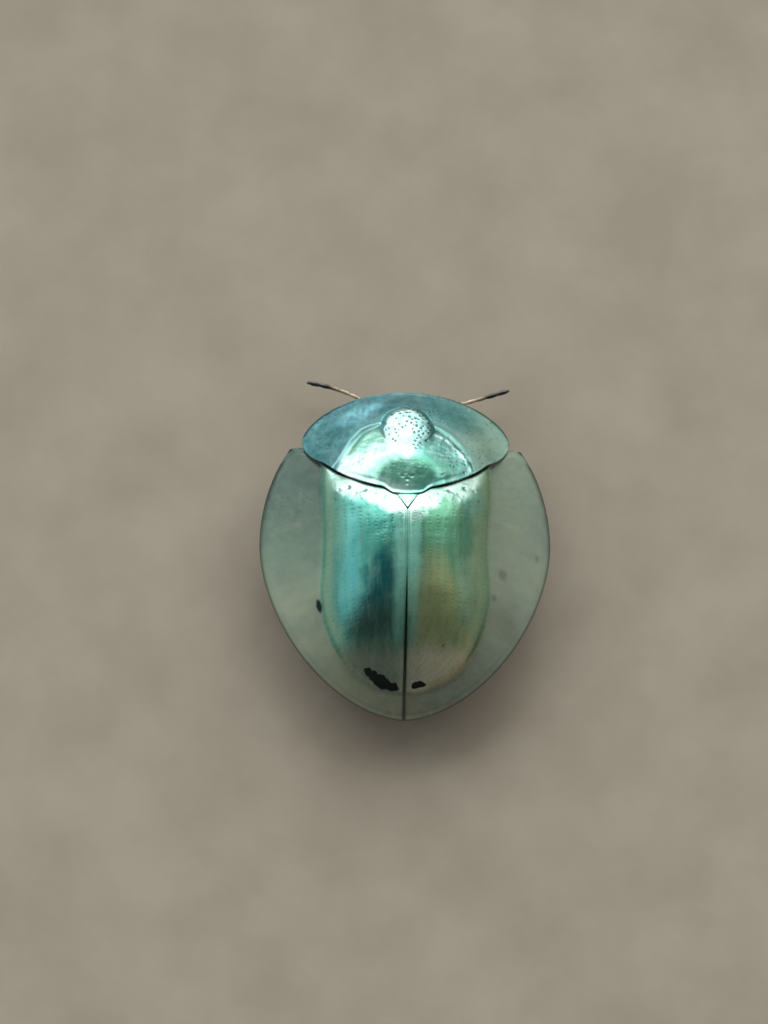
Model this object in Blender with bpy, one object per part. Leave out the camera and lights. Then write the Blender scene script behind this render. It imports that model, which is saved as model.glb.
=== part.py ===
"""A tortoise beetle, standing on its six feet, head towards +Y and its right side towards +X.

Every length below is in millimetres; MM turns it into metres. The plan of the back is laid out on
its own axes, with y = 0 at the rear tip of the wing cases, and is moved by Y_ORIGIN at the end, so
that the origin lies on the floor under the middle of the whole animal.
"""

import math

import bmesh
import bpy
from mathutils import Vector

MM = 0.001

# ---- driving dimensions ---------------------------------------------------------------------
Y_ORIGIN = 4.934         # plan y that becomes the model's y = 0
RIM_Z = 1.32             # height of the shield's rim over the floor
SHELL = 0.50             # thickness of the wing cases and of the pronotum
GAP = 0.10               # clearance between neighbouring pieces

ELYTRA_HALF_WIDTH = 4.03 # outer outline of the wing cases
ELYTRA_WIDEST_Y = 4.9
ELYTRA_REAR = 4.9        # from the widest station back to the rear tip
ELYTRA_FRONT = 4.6       # the same ellipse, forwards
ELYTRA_REAR_POWER = 1.75 # below 2: a little pointed behind
HUMERAL_X = 3.2          # the shoulder corner
HUMERAL_Y = 7.70

DISC_HALF_WIDTH = 2.3    # raised, opaque middle of the wing cases
DISC_WAIST = 0.03
DISC_TURN_Y = 3.6        # where its sides begin to round in
DISC_REAR_Y = 0.76
DISC_POWER = 2.3
DISC_RISE = 1.67         # dome over the margin's own slope
DISC_PEAK_Y = 4.8        # highest station of the wing cases
PEAK_FALL = 0.042        # share of the rise lost per square millimetre before and behind it
BASE_RISE = 0.80         # slope of the flat margins, rim to middle

PRONOTUM_HALF_WIDTH = 2.9
PRONOTUM_CORNER_Y = 7.82
PRONOTUM_FRONT_Y = 9.30
PRONOTUM_DISC_A = 2.0    # half width of the raised disc
PRONOTUM_DISC_B = 1.95   # its reach forwards from PRONOTUM_DISC_Y
PRONOTUM_DISC_Y = 6.40
PRONOTUM_TOP = 1.23      # rise of the disc's flat middle
PRONOTUM_FOOT = 0.48     # rise of the margin where it meets the disc
PRONOTUM_FLAT = (0.45, 0.40)  # share of the disc that is flat, sideways and forwards
PRONOTUM_SOFT = 0.10

BOSS_X, BOSS_Y, BOSS_REACH = 0.75, 7.98, 0.77  # the round boss over the head
BOSS_Z = 1.35
BOSS_SLOPE = 0.44
BOSS_CURVE = 0.24
BOSS_EDGE = 0.40
BOSS_BLEND = 0.14

VALLEY_Y = 5.52          # the wing cases' base falls towards the pronotum from here
VALLEY_BOW = 0.14
VALLEY_SLOPE = 0.43
VALLEY_SOFT = 0.16

SCUTELLUM_HALF = 0.29
SCUTELLUM_BASE_Y = 5.87
SCUTELLUM_TIP_Y = 5.43

BODY_SHARE = 0.75        # the body's half width against the disc's
BODY_BOTTOM_Z = 1.12     # belly over the floor
FOOT_HEIGHT = 0.45


# ---- the shape of the back ------------------------------------------------------------------
def smooth(a, b, t):
    t = min(1.0, max(0.0, (t - a) / (b - a)))
    return t * t * (3 - 2 * t)


def dome(rho2, soft=0.05):
    """Profile of a raised disc: steep at its edge (rho2 = 1), where it meets the margin in a small fillet."""
    t = 1 - rho2
    return (0.5 * (t + math.sqrt(t * t + soft * soft))) ** 0.62 - (0.5 * (math.sqrt(25 + soft * soft) - 5)) ** 0.62


def base_height(x, y):
    """The margins: one shallow cap from the rim to the middle."""
    reach = ELYTRA_REAR if y < ELYTRA_WIDEST_Y else ELYTRA_FRONT
    r2 = (x / ELYTRA_HALF_WIDTH) ** 2 + ((y - ELYTRA_WIDEST_Y) / reach) ** 2
    return BASE_RISE * (1 - r2)


def disc_half_width(y):
    return DISC_HALF_WIDTH + DISC_WAIST * math.cos(2 * math.pi * (y - 6.6) / 3.4)


def elytra_dome(x, y):
    back = max(0.0, (DISC_TURN_Y - y) / (DISC_TURN_Y - DISC_REAR_Y))
    rho = (abs(x / disc_half_width(y)) ** DISC_POWER + back ** DISC_POWER) ** (1 / DISC_POWER)
    rise = DISC_RISE * (1 - PEAK_FALL * (DISC_PEAK_Y - y) ** 2)
    return base_height(x, y) + rise * dome(rho * rho)


def soft_ramp(t, soft):
    """t above 0 and 0 below it, rounded where they meet."""
    return 0.5 * (t + math.sqrt(t * t + soft * soft))


def elytra_height(x, y):
    """The wing cases, with their base falling towards the pronotum."""
    drop = VALLEY_SLOPE * soft_ramp(y - VALLEY_Y - VALLEY_BOW * x * x, VALLEY_SOFT)
    return elytra_dome(x, y) - drop * (1 - smooth(1.7, 2.4, abs(x)))


def pronotum_disc(x, y):
    """The pronotum without its boss: flat in the middle, falling evenly to the edge of the disc."""
    ahead = max(0.0, y - PRONOTUM_DISC_Y) / PRONOTUM_DISC_B
    rho = math.hypot(x / PRONOTUM_DISC_A, ahead)
    flat = math.hypot(PRONOTUM_FLAT[0] * x / PRONOTUM_DISC_A, PRONOTUM_FLAT[1] * ahead) / max(rho, 1e-6)
    down = (soft_ramp(rho - flat, PRONOTUM_SOFT) - soft_ramp(-flat, PRONOTUM_SOFT)) / (1 - flat)
    fall = soft_ramp(1 - down, 0.06) - 0.005
    foot = PRONOTUM_FOOT * (1 - smooth(1.0, 1.6, rho))
    return base_height(x, y) + foot + (PRONOTUM_TOP - PRONOTUM_FOOT) * fall


def pronotum_height(x, y):
    z = pronotum_disc(x, y)
    back = 0.92 if y < BOSS_Y else 1.0
    r2 = (x / BOSS_X) ** 2 + (back * (y - BOSS_Y) / BOSS_REACH) ** 2
    boss = BOSS_Z - BOSS_SLOPE * (y - BOSS_Y) - BOSS_CURVE * max(0.0, y - BOSS_Y) ** 2
    boss -= 0.12 * (x / BOSS_X) ** 2 + BOSS_EDGE * min(r2, 1.6) ** 6
    h = max(0.0, BOSS_BLEND - abs(z - boss))
    return max(z, boss) + h * h / (4 * BOSS_BLEND)


def pronotum_front(x):
    t = max(0.0, 1 - (x / PRONOTUM_HALF_WIDTH) ** 2)
    return PRONOTUM_CORNER_Y + (PRONOTUM_FRONT_Y - PRONOTUM_CORNER_Y) * t ** (1 / 1.7)


def pronotum_rear(x):
    """Bisinuate base: a square lobe over the scutellum, then sweeping forwards to the rounded corners."""
    corner = 0.17 * (max(0.0, abs(x) - 2.62) / 0.28) ** 3 - 0.10 * smooth(2.2, 2.65, abs(x))
    return 6.05 + 0.20 * x * x - 0.13 * (1 - smooth(0.35, 0.70, abs(x))) + corner


def elytra_front(x):
    """The wing cases follow the pronotum and round off at the shoulder."""
    a = pronotum_rear(x) - GAP
    b = HUMERAL_Y - 1.2 * (max(x, 2.6) - 3.0) ** 2
    h = max(0.0, 0.12 - abs(a - b))
    return min(a, b) - h * h / 0.48


def resample(points, count):
    """count + 1 points at even steps along a polyline."""
    run = [0.0]
    for p, q in zip(points, points[1:]):
        run.append(run[-1] + math.dist(p, q))
    out, k = [], 0
    for i in range(count + 1):
        want = run[-1] * i / count
        while k < len(run) - 2 and run[k + 1] < want:
            k += 1
        f = (want - run[k]) / max(run[k + 1] - run[k], 1e-12)
        out.append(tuple(a + (b - a) * f for a, b in zip(points[k], points[k + 1])))
    return out


def elytron_curves():
    """Plan curves of the right wing case: inner edge, edge of the disc, outer edge, and its front."""
    half = GAP / 2
    inner = [(half, 1.5 + (SCUTELLUM_TIP_Y - GAP - 1.5) * i / 20) for i in range(21)]
    inner.append((SCUTELLUM_HALF + GAP, SCUTELLUM_BASE_Y))
    disc_x = DISC_HALF_WIDTH + 0.02
    disc, outer = [], []
    for i in range(41):
        t = math.pi / 2 * i / 40
        s, c = math.sin(t), max(0.0, math.cos(t))
        y = DISC_TURN_Y - (DISC_TURN_Y - DISC_REAR_Y) * c ** (2 / DISC_POWER)
        disc.append((half + (disc_half_width(y) - half) * s ** (2 / DISC_POWER), y))
        outer.append((half + (ELYTRA_HALF_WIDTH - half) * s ** (2 / ELYTRA_REAR_POWER),
                      ELYTRA_WIDEST_Y - ELYTRA_REAR * c ** (2 / ELYTRA_REAR_POWER)))
    front_y = elytra_front(disc_x)
    for i in range(1, 21):
        y = DISC_TURN_Y + (front_y - DISC_TURN_Y) * i / 20
        disc.append((disc_half_width(y) + (disc_x - disc_half_width(y)) * (i / 20) ** 4, y))
    end = math.acos(HUMERAL_X / ELYTRA_HALF_WIDTH)
    for i in range(1, 41):
        t = end * i / 40
        outer.append((ELYTRA_HALF_WIDTH * math.cos(t), ELYTRA_WIDEST_Y + ELYTRA_FRONT * math.sin(t)))
    start = SCUTELLUM_HALF + GAP
    front_a = [(x, elytra_front(x)) for x in (start + (disc_x - start) * i / 40 for i in range(41))]
    front_b = [(x, elytra_front(x)) for x in (disc_x + (HUMERAL_X - disc_x) * i / 40 for i in range(41))]
    inner[-1] = front_a[0]
    outer[-1] = front_b[-1]
    return inner, disc, outer, front_a, front_b


def patch(edge_a, edge_b, front, across, along, skip_first):
    """Rows of plan points between two curves that run from the rear to the front."""
    a, b, f = resample(edge_a, along), resample(edge_b, along), resample(front, across)
    rows = []
    for j in range(1 if skip_first else 0, across + 1):
        s = j / across
        row = []
        for i in range(along + 1):
            v = (i / along) ** 3
            p = [(1 - s) * a[i][k] + s * b[i][k] for k in (0, 1)]
            end = [(1 - s) * a[-1][k] + s * b[-1][k] for k in (0, 1)]
            row.append(tuple(p[k] + v * (f[j][k] - end[k]) for k in (0, 1)))
        rows.append(row)
    return rows


def normal(height, x, y, step=0.06):
    dx = (height(x + step, y) - height(x - step, y)) / (2 * step)
    dy = (height(x, y + step) - height(x, y - step)) / (2 * step)
    return Vector((-dx, -dy, 1.0)).normalized()


# ---- building helpers -----------------------------------------------------------------------
def place(p):
    return Vector((p[0] * MM, (p[1] - Y_ORIGIN) * MM, p[2] * MM))


def material(name, colour, roughness, metallic=0.0, alpha=1.0):
    found = bpy.data.materials.get(name)
    if found:
        return found
    made = bpy.data.materials.new(name)
    made.use_nodes = True
    shader = made.node_tree.nodes["Principled BSDF"]
    shader.inputs["Base Color"].default_value = (*colour, 1.0)
    shader.inputs["Roughness"].default_value = roughness
    shader.inputs["Metallic"].default_value = metallic
    shader.inputs["Alpha"].default_value = alpha
    made.diffuse_color = (*colour, alpha)
    return made


def finish(obj, mat, collection, sharp=50.0):
    collection.objects.link(obj)
    obj.data.materials.append(mat)
    if obj.type == "MESH":
        obj.data.shade_smooth()
        obj.data.set_sharp_from_angle(angle=math.radians(sharp))
    return obj


def mesh_object(name, bm):
    bmesh.ops.recalc_face_normals(bm, faces=bm.faces)
    if bm.calc_volume(signed=True) < 0:
        bmesh.ops.reverse_faces(bm, faces=bm.faces)
    mesh = bpy.data.meshes.new(name)
    bm.to_mesh(mesh)
    bm.free()
    return bpy.data.objects.new(name, mesh)


def shell_object(name, top, bottom):
    """A closed shell from a grid of upper points and the matching grid of lower points."""
    bm = bmesh.new()
    rows, cols = len(top), len(top[0])
    up = [[bm.verts.new(place(p)) for p in row] for row in top]
    down = [[bm.verts.new(place(p)) for p in row] for row in bottom]
    for j in range(rows - 1):
        for i in range(cols - 1):
            bm.faces.new((up[j][i], up[j][i + 1], up[j + 1][i + 1], up[j + 1][i]))
            bm.faces.new((down[j][i], down[j + 1][i], down[j + 1][i + 1], down[j][i + 1]))
    border = [(0, i) for i in range(cols)] + [(j, cols - 1) for j in range(1, rows)]
    border += [(rows - 1, i) for i in range(cols - 2, -1, -1)] + [(j, 0) for j in range(rows - 2, 0, -1)]
    for (j, i), (m, n) in zip(border, border[1:] + border[:1]):
        bm.faces.new((up[j][i], down[j][i], down[m][n], up[m][n]))
    return mesh_object(name, bm)


def tube(name, points, radii, sides=2, steps=None):
    """A limb: a swept curve through points, its radius following radii."""
    curve = bpy.data.curves.new(name, "CURVE")
    curve.dimensions = "3D"
    curve.bevel_depth = MM
    curve.bevel_resolution = sides
    curve.use_fill_caps = True
    spline = curve.splines.new("POLY")
    path = smooth_path(points, radii, steps or 3 * (len(points) - 1))
    spline.points.add(len(path) - 1)
    for knot, (p, r) in zip(spline.points, path):
        knot.co = (*place(p), 1.0)
        knot.radius = r
    return bpy.data.objects.new(name, curve)


def smooth_path(points, radii, steps):
    """Catmull-Rom through the points, read at steps + 1 places, with the radius interpolated."""
    pts = [Vector(p) for p in points]
    pts = [2 * pts[0] - pts[1]] + pts + [2 * pts[-1] - pts[-2]]
    out = []
    for i in range(steps + 1):
        t = (len(points) - 1) * i / steps
        k = min(int(t), len(points) - 2)
        f = t - k
        a, b, c, d = pts[k:k + 4]
        p = 0.5 * (2 * b + (c - a) * f + (2 * a - 5 * b + 4 * c - d) * f * f + (3 * b - a - 3 * c + d) * f ** 3)
        out.append((p, radii[k] + (radii[k + 1] - radii[k]) * f))
    return out


def mapped_block(name, cuts, shape):
    """A cube cut into a grid, each of its points (each coordinate -1 to 1) moved by a function."""
    bm = bmesh.new()
    bmesh.ops.create_cube(bm, size=2.0)
    bmesh.ops.subdivide_edges(bm, edges=bm.edges[:], cuts=cuts, use_grid_fill=True)
    for v in bm.verts:
        v.co = place(shape(*v.co))
    return mesh_object(name, bm)


# ---- the pieces -----------------------------------------------------------------------------
def elytron(name, side, mat, collection):
    inner, disc, outer, front_a, front_b = elytron_curves()
    plan = patch(inner, disc, front_a, 8, 20, False) + patch(disc, outer, front_b, 4, 20, True)
    top, bottom = [], []
    for row in plan:
        top.append([])
        bottom.append([])
        for i, (x, y) in enumerate(row):
            z = RIM_Z + elytra_height(x, y)
            upright = smooth(0.72, 0.97, i / (len(row) - 1))
            n = normal(elytra_height, x, y).lerp(Vector((0, 0, 1)), upright).normalized()
            low = (max(x - SHELL * n.x, GAP / 2), y - SHELL * n.y, z - SHELL * n.z)
            top[-1].append((side * x, y, z))
            bottom[-1].append((side * low[0], low[1], low[2]))
    return finish(shell_object(name, top, bottom), mat, collection)


def pronotum(mat, collection):
    columns, rows = 40, 18
    top, bottom = [], []
    for j in range(rows + 1):
        v = j / rows
        top.append([])
        bottom.append([])
        for i in range(columns + 1):
            x = PRONOTUM_HALF_WIDTH * math.sin(math.pi * (i / columns - 0.5))
            y = pronotum_rear(x) + (pronotum_front(x) - pronotum_rear(x)) * v
            deep = SHELL / max(normal(pronotum_disc, x, y).z, 0.7)
            top[-1].append((x, y, RIM_Z + pronotum_height(x, y)))
            bottom[-1].append((x, y, RIM_Z + pronotum_disc(x, y) - deep))
    return finish(shell_object("pronotum", top, bottom), mat, collection)


def scutellum(mat, collection):
    """The small triangle between the pronotum's lobe and the wing cases."""
    long = SCUTELLUM_BASE_Y - SCUTELLUM_TIP_Y
    top, bottom = [], []
    for j in range(4):
        t = j / 3
        half = SCUTELLUM_HALF * (1 - t) + 0.02
        y = SCUTELLUM_BASE_Y - GAP / 2 - (long - GAP / 2) * t
        row = [(half * k, y, RIM_Z + elytra_height(half * k, y) - 0.02 + 0.03 * (1 - k * k)) for k in (-1, -0.5, 0, 0.5, 1)]
        top.append(row)
        bottom.append([(x, y, z - SHELL) for x, y, z in row])
    return finish(shell_object("scutellum", top, bottom), mat, collection)


def under_shell(height, x, y):
    """Highest z that stays clear of the shell's inner face."""
    n = normal(height, x, y)
    return RIM_Z + height(x, y) - (SHELL + 0.20) / max(n.z, 0.3)


def belly(x, y, half):
    """Lower face of the body: a shallow keel, rising to the sides."""
    return BODY_BOTTOM_Z + 0.10 * (x / half) ** 2


def trunk(name, height, y0, y1, half_at, mat, collection, cuts=6, belly_drop=0.0):
    """A length of the body from plan y0 to y1, filling the space under the shell."""
    def shape(u, v, w):
        y = y0 + (y1 - y0) * (v + 1) / 2
        half = half_at(y)
        x = half * math.sin(u * math.pi / 2)
        low = belly(x, y, half) - belly_drop * (1 - v * v) * (1 - u * u)
        high = max(under_shell(height, x, y), low + 0.3)
        return x, y, low + (high - low) * (w + 1) / 2
    return finish(mapped_block(name, cuts, shape), mat, collection)


def head(mat, collection, cutters):
    def shape(u, v, w):
        d = Vector((u, v, w)).normalized()
        x = 0.66 * d.x * (1 - 0.22 * max(0.0, -d.z))
        y = 7.84 + 0.42 * d.y + 0.14 * max(0.0, -d.z)
        z = 1.02 + (0.40 if d.z > 0 else 0.58) * d.z
        return x, y, z
    made = finish(mapped_block("head", 6, shape), mat, collection)
    for side in (-1, 1):
        bm = bmesh.new()
        bmesh.ops.create_uvsphere(bm, u_segments=12, v_segments=8, radius=1.0)
        for v in bm.verts:
            v.co = place((side * 0.56 + (0.26 + 0.06) * v.co.x, 7.86 + (0.28 + 0.06) * v.co.y, 1.00 + (0.31 + 0.06) * v.co.z))
        cutter = mesh_object("socket_cutter_" + ("left" if side < 0 else "right"), bm)
        cutters.objects.link(cutter)
        cutter.hide_render = True
        cutter.display_type = "WIRE"
        cut = made.modifiers.new("eye socket", "BOOLEAN")
        cut.operation = "DIFFERENCE"
        cut.solver = "EXACT"
        cut.object = cutter
    return made


def eye(name, side, mat, collection):
    bm = bmesh.new()
    bmesh.ops.create_uvsphere(bm, u_segments=12, v_segments=8, radius=1.0)
    for v in bm.verts:
        v.co = place((side * 0.56 + 0.26 * v.co.x, 7.86 + 0.28 * v.co.y, 1.00 + 0.31 * v.co.z))
    return finish(mesh_object(name, bm), mat, collection)


def foot(name, x, y, heading, mat, collection):
    """The tarsus: a broad pad that stands on a small flat."""
    long, wide = 0.92, 0.56
    turn = math.radians(heading)

    def shape(u, v, w):
        taper = 0.82 + 0.18 * math.sin(math.pi * (v + 1) / 2.2)
        round_u = u * (1 - 0.10 * v * v)
        a = wide / 2 * round_u * taper * (1 - 0.22 * max(0.0, w))
        b = long / 2 * v * (1 - 0.10 * u * u) * (1 - 0.10 * max(0.0, w))
        z = FOOT_HEIGHT * (w + 1) / 2 * (1 - 0.12 * u * u)
        return x + a * math.cos(turn) - b * math.sin(turn), y + a * math.sin(turn) + b * math.cos(turn), z
    return finish(mapped_block(name, 2, shape), mat, collection)


# plan x, plan y and height of each right leg's hip, knee and ankle, then the foot's middle and heading
LEGS = {
    "front": ((0.62, 6.95, 0.78), (1.72, 7.35, 0.82), (2.00, 7.86, 0.78), (2.24, 8.10), -38.0),
    "middle": ((0.78, 5.55, 0.78), (2.20, 5.72, 0.84), (2.66, 5.62, 0.80), (2.93, 5.62), -97.0),
    "hind": ((0.74, 4.20, 0.78), (1.92, 3.78, 0.84), (2.24, 3.24, 0.80), (2.36, 2.98), -158.0),
}


def leg(name, side, hip, knee, ankle, mat, collection):
    hip, knee, ankle = (Vector((side * p[0], p[1], p[2])) for p in (hip, knee, ankle))
    points = [hip, hip.lerp(knee, 0.5) + Vector((0, 0, -0.02)), knee, knee.lerp(ankle, 0.6), ankle]
    made = tube(name, points, (0.25, 0.28, 0.25, 0.24, 0.25), steps=8)
    return finish(made, mat, collection)


# plan x, plan y and height along each feeler, root to tip
FEELERS = {
    "left": ((-0.26, 8.42, 0.74), (-0.62, 8.90, 0.59), (-1.24, 9.32, 0.53), (-1.95, 9.58, 0.60), (-2.62, 9.70, 0.70)),
    "right": ((0.26, 8.42, 0.74), (0.66, 8.86, 0.59), (1.34, 9.14, 0.53), (2.10, 9.34, 0.60), (2.82, 9.50, 0.70)),
}


def build():
    for obj in list(bpy.data.objects):
        bpy.data.objects.remove(obj, do_unlink=True)
    beetle = bpy.data.collections.new("tortoise_beetle")
    cutters = bpy.data.collections.new("cutters")
    for collection in (beetle, cutters):
        bpy.context.scene.collection.children.link(collection)

    metal = material("metallic_teal_cuticle", (0.16, 0.52, 0.46), 0.28, metallic=0.9)
    metal_front = material("metallic_pale_green_cuticle", (0.30, 0.62, 0.50), 0.26, metallic=0.9)
    small_plate = material("metallic_scutellum", (0.42, 0.70, 0.58), 0.25, metallic=0.9)
    dark = material("dark_brown_cuticle", (0.05, 0.035, 0.025), 0.4)
    amber = material("amber_leg_cuticle", (0.52, 0.30, 0.11), 0.38)
    face = material("brown_head_cuticle", (0.20, 0.11, 0.05), 0.4)
    glossy = material("black_eye", (0.012, 0.011, 0.012), 0.12)
    feeler = material("amber_feeler_cuticle", (0.45, 0.27, 0.14), 0.4)

    elytron("elytron_left", -1, metal, beetle)
    elytron("elytron_right", 1, metal, beetle)
    pronotum(metal_front, beetle)
    scutellum(small_plate, beetle)

    trunk("abdomen", elytra_height, 1.62, 3.70,
          lambda y: BODY_SHARE * DISC_HALF_WIDTH * max(0.0, 1 - ((3.70 - y) / 2.38) ** 2.2) ** 0.5,
          dark, beetle, belly_drop=0.14)
    trunk("thorax", elytra_height, 3.70 + GAP, 5.80,
          lambda y: BODY_SHARE * DISC_HALF_WIDTH * (1 - 0.22 * smooth(4.6, 5.8, y)), dark, beetle)
    trunk("prothorax", pronotum_disc, 6.12, 7.30,
          lambda y: 1.22 - 0.34 * smooth(6.3, 7.3, y), dark, beetle, cuts=4)

    head(face, beetle, cutters)
    eye("eye_left", -1, glossy, beetle)
    eye("eye_right", 1, glossy, beetle)
    for word, points in FEELERS.items():
        finish(tube("antenna_" + word, points, (0.22, 0.22, 0.22, 0.27, 0.17), steps=12), feeler, beetle)
    for word, side in (("left", -1), ("right", 1)):
        for pair, (hip, knee, ankle, pad, heading) in LEGS.items():
            leg(f"leg_{pair}_{word}", side, hip, knee, ankle, amber, beetle)
            foot(f"tarsus_{pair}_{word}", side * pad[0], pad[1], side * heading, amber, beetle)


build()
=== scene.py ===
import math

import bpy
import numpy as np
from mathutils import Matrix, Vector


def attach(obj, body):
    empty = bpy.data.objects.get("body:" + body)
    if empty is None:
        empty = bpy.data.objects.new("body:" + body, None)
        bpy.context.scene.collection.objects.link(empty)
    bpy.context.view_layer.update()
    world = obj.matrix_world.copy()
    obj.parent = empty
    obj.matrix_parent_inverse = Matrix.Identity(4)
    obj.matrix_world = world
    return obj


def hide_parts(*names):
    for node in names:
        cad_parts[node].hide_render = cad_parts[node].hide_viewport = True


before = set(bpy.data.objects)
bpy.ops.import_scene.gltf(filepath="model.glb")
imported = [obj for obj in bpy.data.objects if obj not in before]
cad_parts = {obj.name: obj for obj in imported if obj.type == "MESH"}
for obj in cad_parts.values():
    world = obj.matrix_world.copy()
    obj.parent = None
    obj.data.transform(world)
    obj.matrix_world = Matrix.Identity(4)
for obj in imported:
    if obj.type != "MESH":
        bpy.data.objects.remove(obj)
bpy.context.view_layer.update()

# A tortoise beetle, 8 mm wide. Lengths below are in millimetres on the plan axes of the back:
# y = 0 at the rear tip of the wing cases, z = 0 at the level of the shield's rim.
MM = 0.001
Y_ORIGIN = 4.934
RIM_Z = 1.32
RNG = np.random.default_rng(20)

HALF_W, WIDEST_Y, REAR, FRONT, REAR_POWER = 4.03, 4.9, 4.9, 4.6, 1.75
HUMERAL_X, HUMERAL_Y = 3.2, 7.70
DISC_W, DISC_WAIST, DISC_TURN_Y, DISC_REAR_Y, DISC_POWER = 2.3, 0.03, 3.6, 0.76, 2.3
DISC_RISE, DISC_PEAK_Y, PEAK_FALL, BASE_RISE = 1.67, 4.8, 0.042, 0.80
PRO_W, PRO_CORNER_Y, PRO_FRONT_Y = 2.9, 7.82, 9.30
PRO_A, PRO_B, PRO_Y = 2.0, 1.95, 6.40
PRO_TOP, PRO_FOOT, FLAT_X, FLAT_Y, PRO_SOFT = 1.23, 0.48, 0.45, 0.40, 0.10
BOSS_X, BOSS_Y, BOSS_REACH, BOSS_Z, BOSS_SLOPE, BOSS_CURVE, BOSS_EDGE, BOSS_BLEND = 0.75, 7.98, 0.77, 1.35, 0.44, 0.24, 0.40, 0.11
VALLEY_Y, VALLEY_BOW, VALLEY_SLOPE, VALLEY_SOFT = 5.52, 0.14, 0.43, 0.16
SCUT_HALF, SCUT_BASE, SCUT_TIP = 0.29, 5.87, 5.43
SEAM = 0.042


# ---- the shape of the back ------------------------------------------------------------------
def smooth(a, b, t):
    t = np.clip((np.asarray(t, float) - a) / (b - a), 0, 1)
    return t * t * (3 - 2 * t)


def bell(t, width):
    return np.exp(-(np.asarray(t, float) / width) ** 2)


def dome(rho2, soft=0.05):
    t = 1 - rho2
    low = (0.5 * (math.sqrt(25 + soft * soft) - 5)) ** 0.62
    return np.maximum(0.5 * (t + np.sqrt(t * t + soft * soft)), 0) ** 0.62 - low


def base_height(x, y):
    reach = np.where(y < WIDEST_Y, REAR, FRONT)
    return BASE_RISE * (1 - (x / HALF_W) ** 2 - ((y - WIDEST_Y) / reach) ** 2)


def disc_half(y):
    return DISC_W + DISC_WAIST * np.cos(2 * math.pi * (y - 6.6) / 3.4)


def elytra_rho(x, y):
    back = np.maximum(0.0, (DISC_TURN_Y - y) / (DISC_TURN_Y - DISC_REAR_Y))
    return (np.abs(x / disc_half(y)) ** DISC_POWER + back ** DISC_POWER) ** (1 / DISC_POWER)


def elytra_height(x, y):
    rho = elytra_rho(x, y)
    rise = DISC_RISE * (1 - PEAK_FALL * (DISC_PEAK_Y - y) ** 2)
    z = base_height(x, y) + rise * dome(rho * rho)
    ax = np.abs(x)
    z = z + 0.05 * bell(ax - 1.72, 0.42) * bell(y - 6.42, 0.34)      # shoulder bump
    z = z - 0.018 * bell(ax - 1.25, 0.30) * bell(y - 4.05, 0.6)
    return z


def soft_ramp(t, soft):
    """t above 0 and 0 below it, rounded where they meet."""
    return 0.5 * (t + np.sqrt(t * t + soft * soft))


def case_surface(x, y):
    """The wing cases, with their base falling towards the pronotum."""
    drop = VALLEY_SLOPE * soft_ramp(y - VALLEY_Y - VALLEY_BOW * x * x, VALLEY_SOFT)
    return elytra_height(x, y) - drop * (1 - smooth(1.7, 2.4, np.abs(x)))


def pronotum_rho(x, y):
    return np.hypot(x / PRO_A, np.maximum(0.0, y - PRO_Y) / PRO_B)


def boss_rho2(x, y):
    back = np.where(y < BOSS_Y, 0.92, 1.0)
    return (x / BOSS_X) ** 2 + (back * (y - BOSS_Y) / BOSS_REACH) ** 2


def pronotum_disc(x, y):
    """Flat in the middle, falling evenly to the edge of the disc, then the margin."""
    rho = pronotum_rho(x, y)
    flat = np.hypot(FLAT_X * x / PRO_A, FLAT_Y * np.maximum(0.0, y - PRO_Y) / PRO_B) / np.maximum(rho, 1e-6)
    down = (soft_ramp(rho - flat, PRO_SOFT) - soft_ramp(-flat, PRO_SOFT)) / (1 - flat)
    fall = soft_ramp(1 - down, 0.06) - 0.005
    return base_height(x, y) + PRO_FOOT * (1 - smooth(1.0, 1.6, rho)) + (PRO_TOP - PRO_FOOT) * fall


def pronotum_height(x, y):
    z = pronotum_disc(x, y)
    ahead = np.maximum(0.0, y - BOSS_Y)
    boss = BOSS_Z - BOSS_SLOPE * (y - BOSS_Y) - BOSS_CURVE * ahead ** 2 - 0.12 * (x / BOSS_X) ** 2
    boss = boss - BOSS_EDGE * np.minimum(boss_rho2(x, y) * (1 + 0.07 * wander(x, y, 26, 0.9, 2)), 1.6) ** 8
    h = np.maximum(0.0, BOSS_BLEND - np.abs(z - boss))
    return np.maximum(z, boss) + h * h / (4 * BOSS_BLEND)


def pronotum_front(x):
    t = np.maximum(0.0, 1 - (x / PRO_W) ** 2)
    return PRO_CORNER_Y + (PRO_FRONT_Y - PRO_CORNER_Y) * t ** (1 / 1.7)


def pronotum_rear(x):
    ax = np.abs(x)
    corner = 0.17 * (np.maximum(0.0, ax - 2.62) / 0.28) ** 3 - 0.10 * smooth(2.2, 2.65, ax)
    return 6.05 + 0.20 * x * x - 0.13 * (1 - smooth(0.35, 0.70, ax)) + np.where(ax < 3.0, corner, 0.44)


def elytra_front(x):
    a = pronotum_rear(x) - SEAM + 0.17 * smooth(2.2, 2.5, x)
    b = HUMERAL_Y - 1.2 * (np.maximum(x, 2.6) - 3.0) ** 2
    h = np.maximum(0.0, 0.12 - np.abs(a - b))
    return np.minimum(a, b) - h * h / 0.48


def resample(points, count):
    points = np.asarray(points, float)
    run = np.concatenate([[0], np.cumsum(np.linalg.norm(np.diff(points, axis=0), axis=1))])
    at = np.linspace(0, run[-1], count + 1)
    return np.stack([np.interp(at, run, points[:, k]) for k in range(points.shape[1])], 1)


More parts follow.
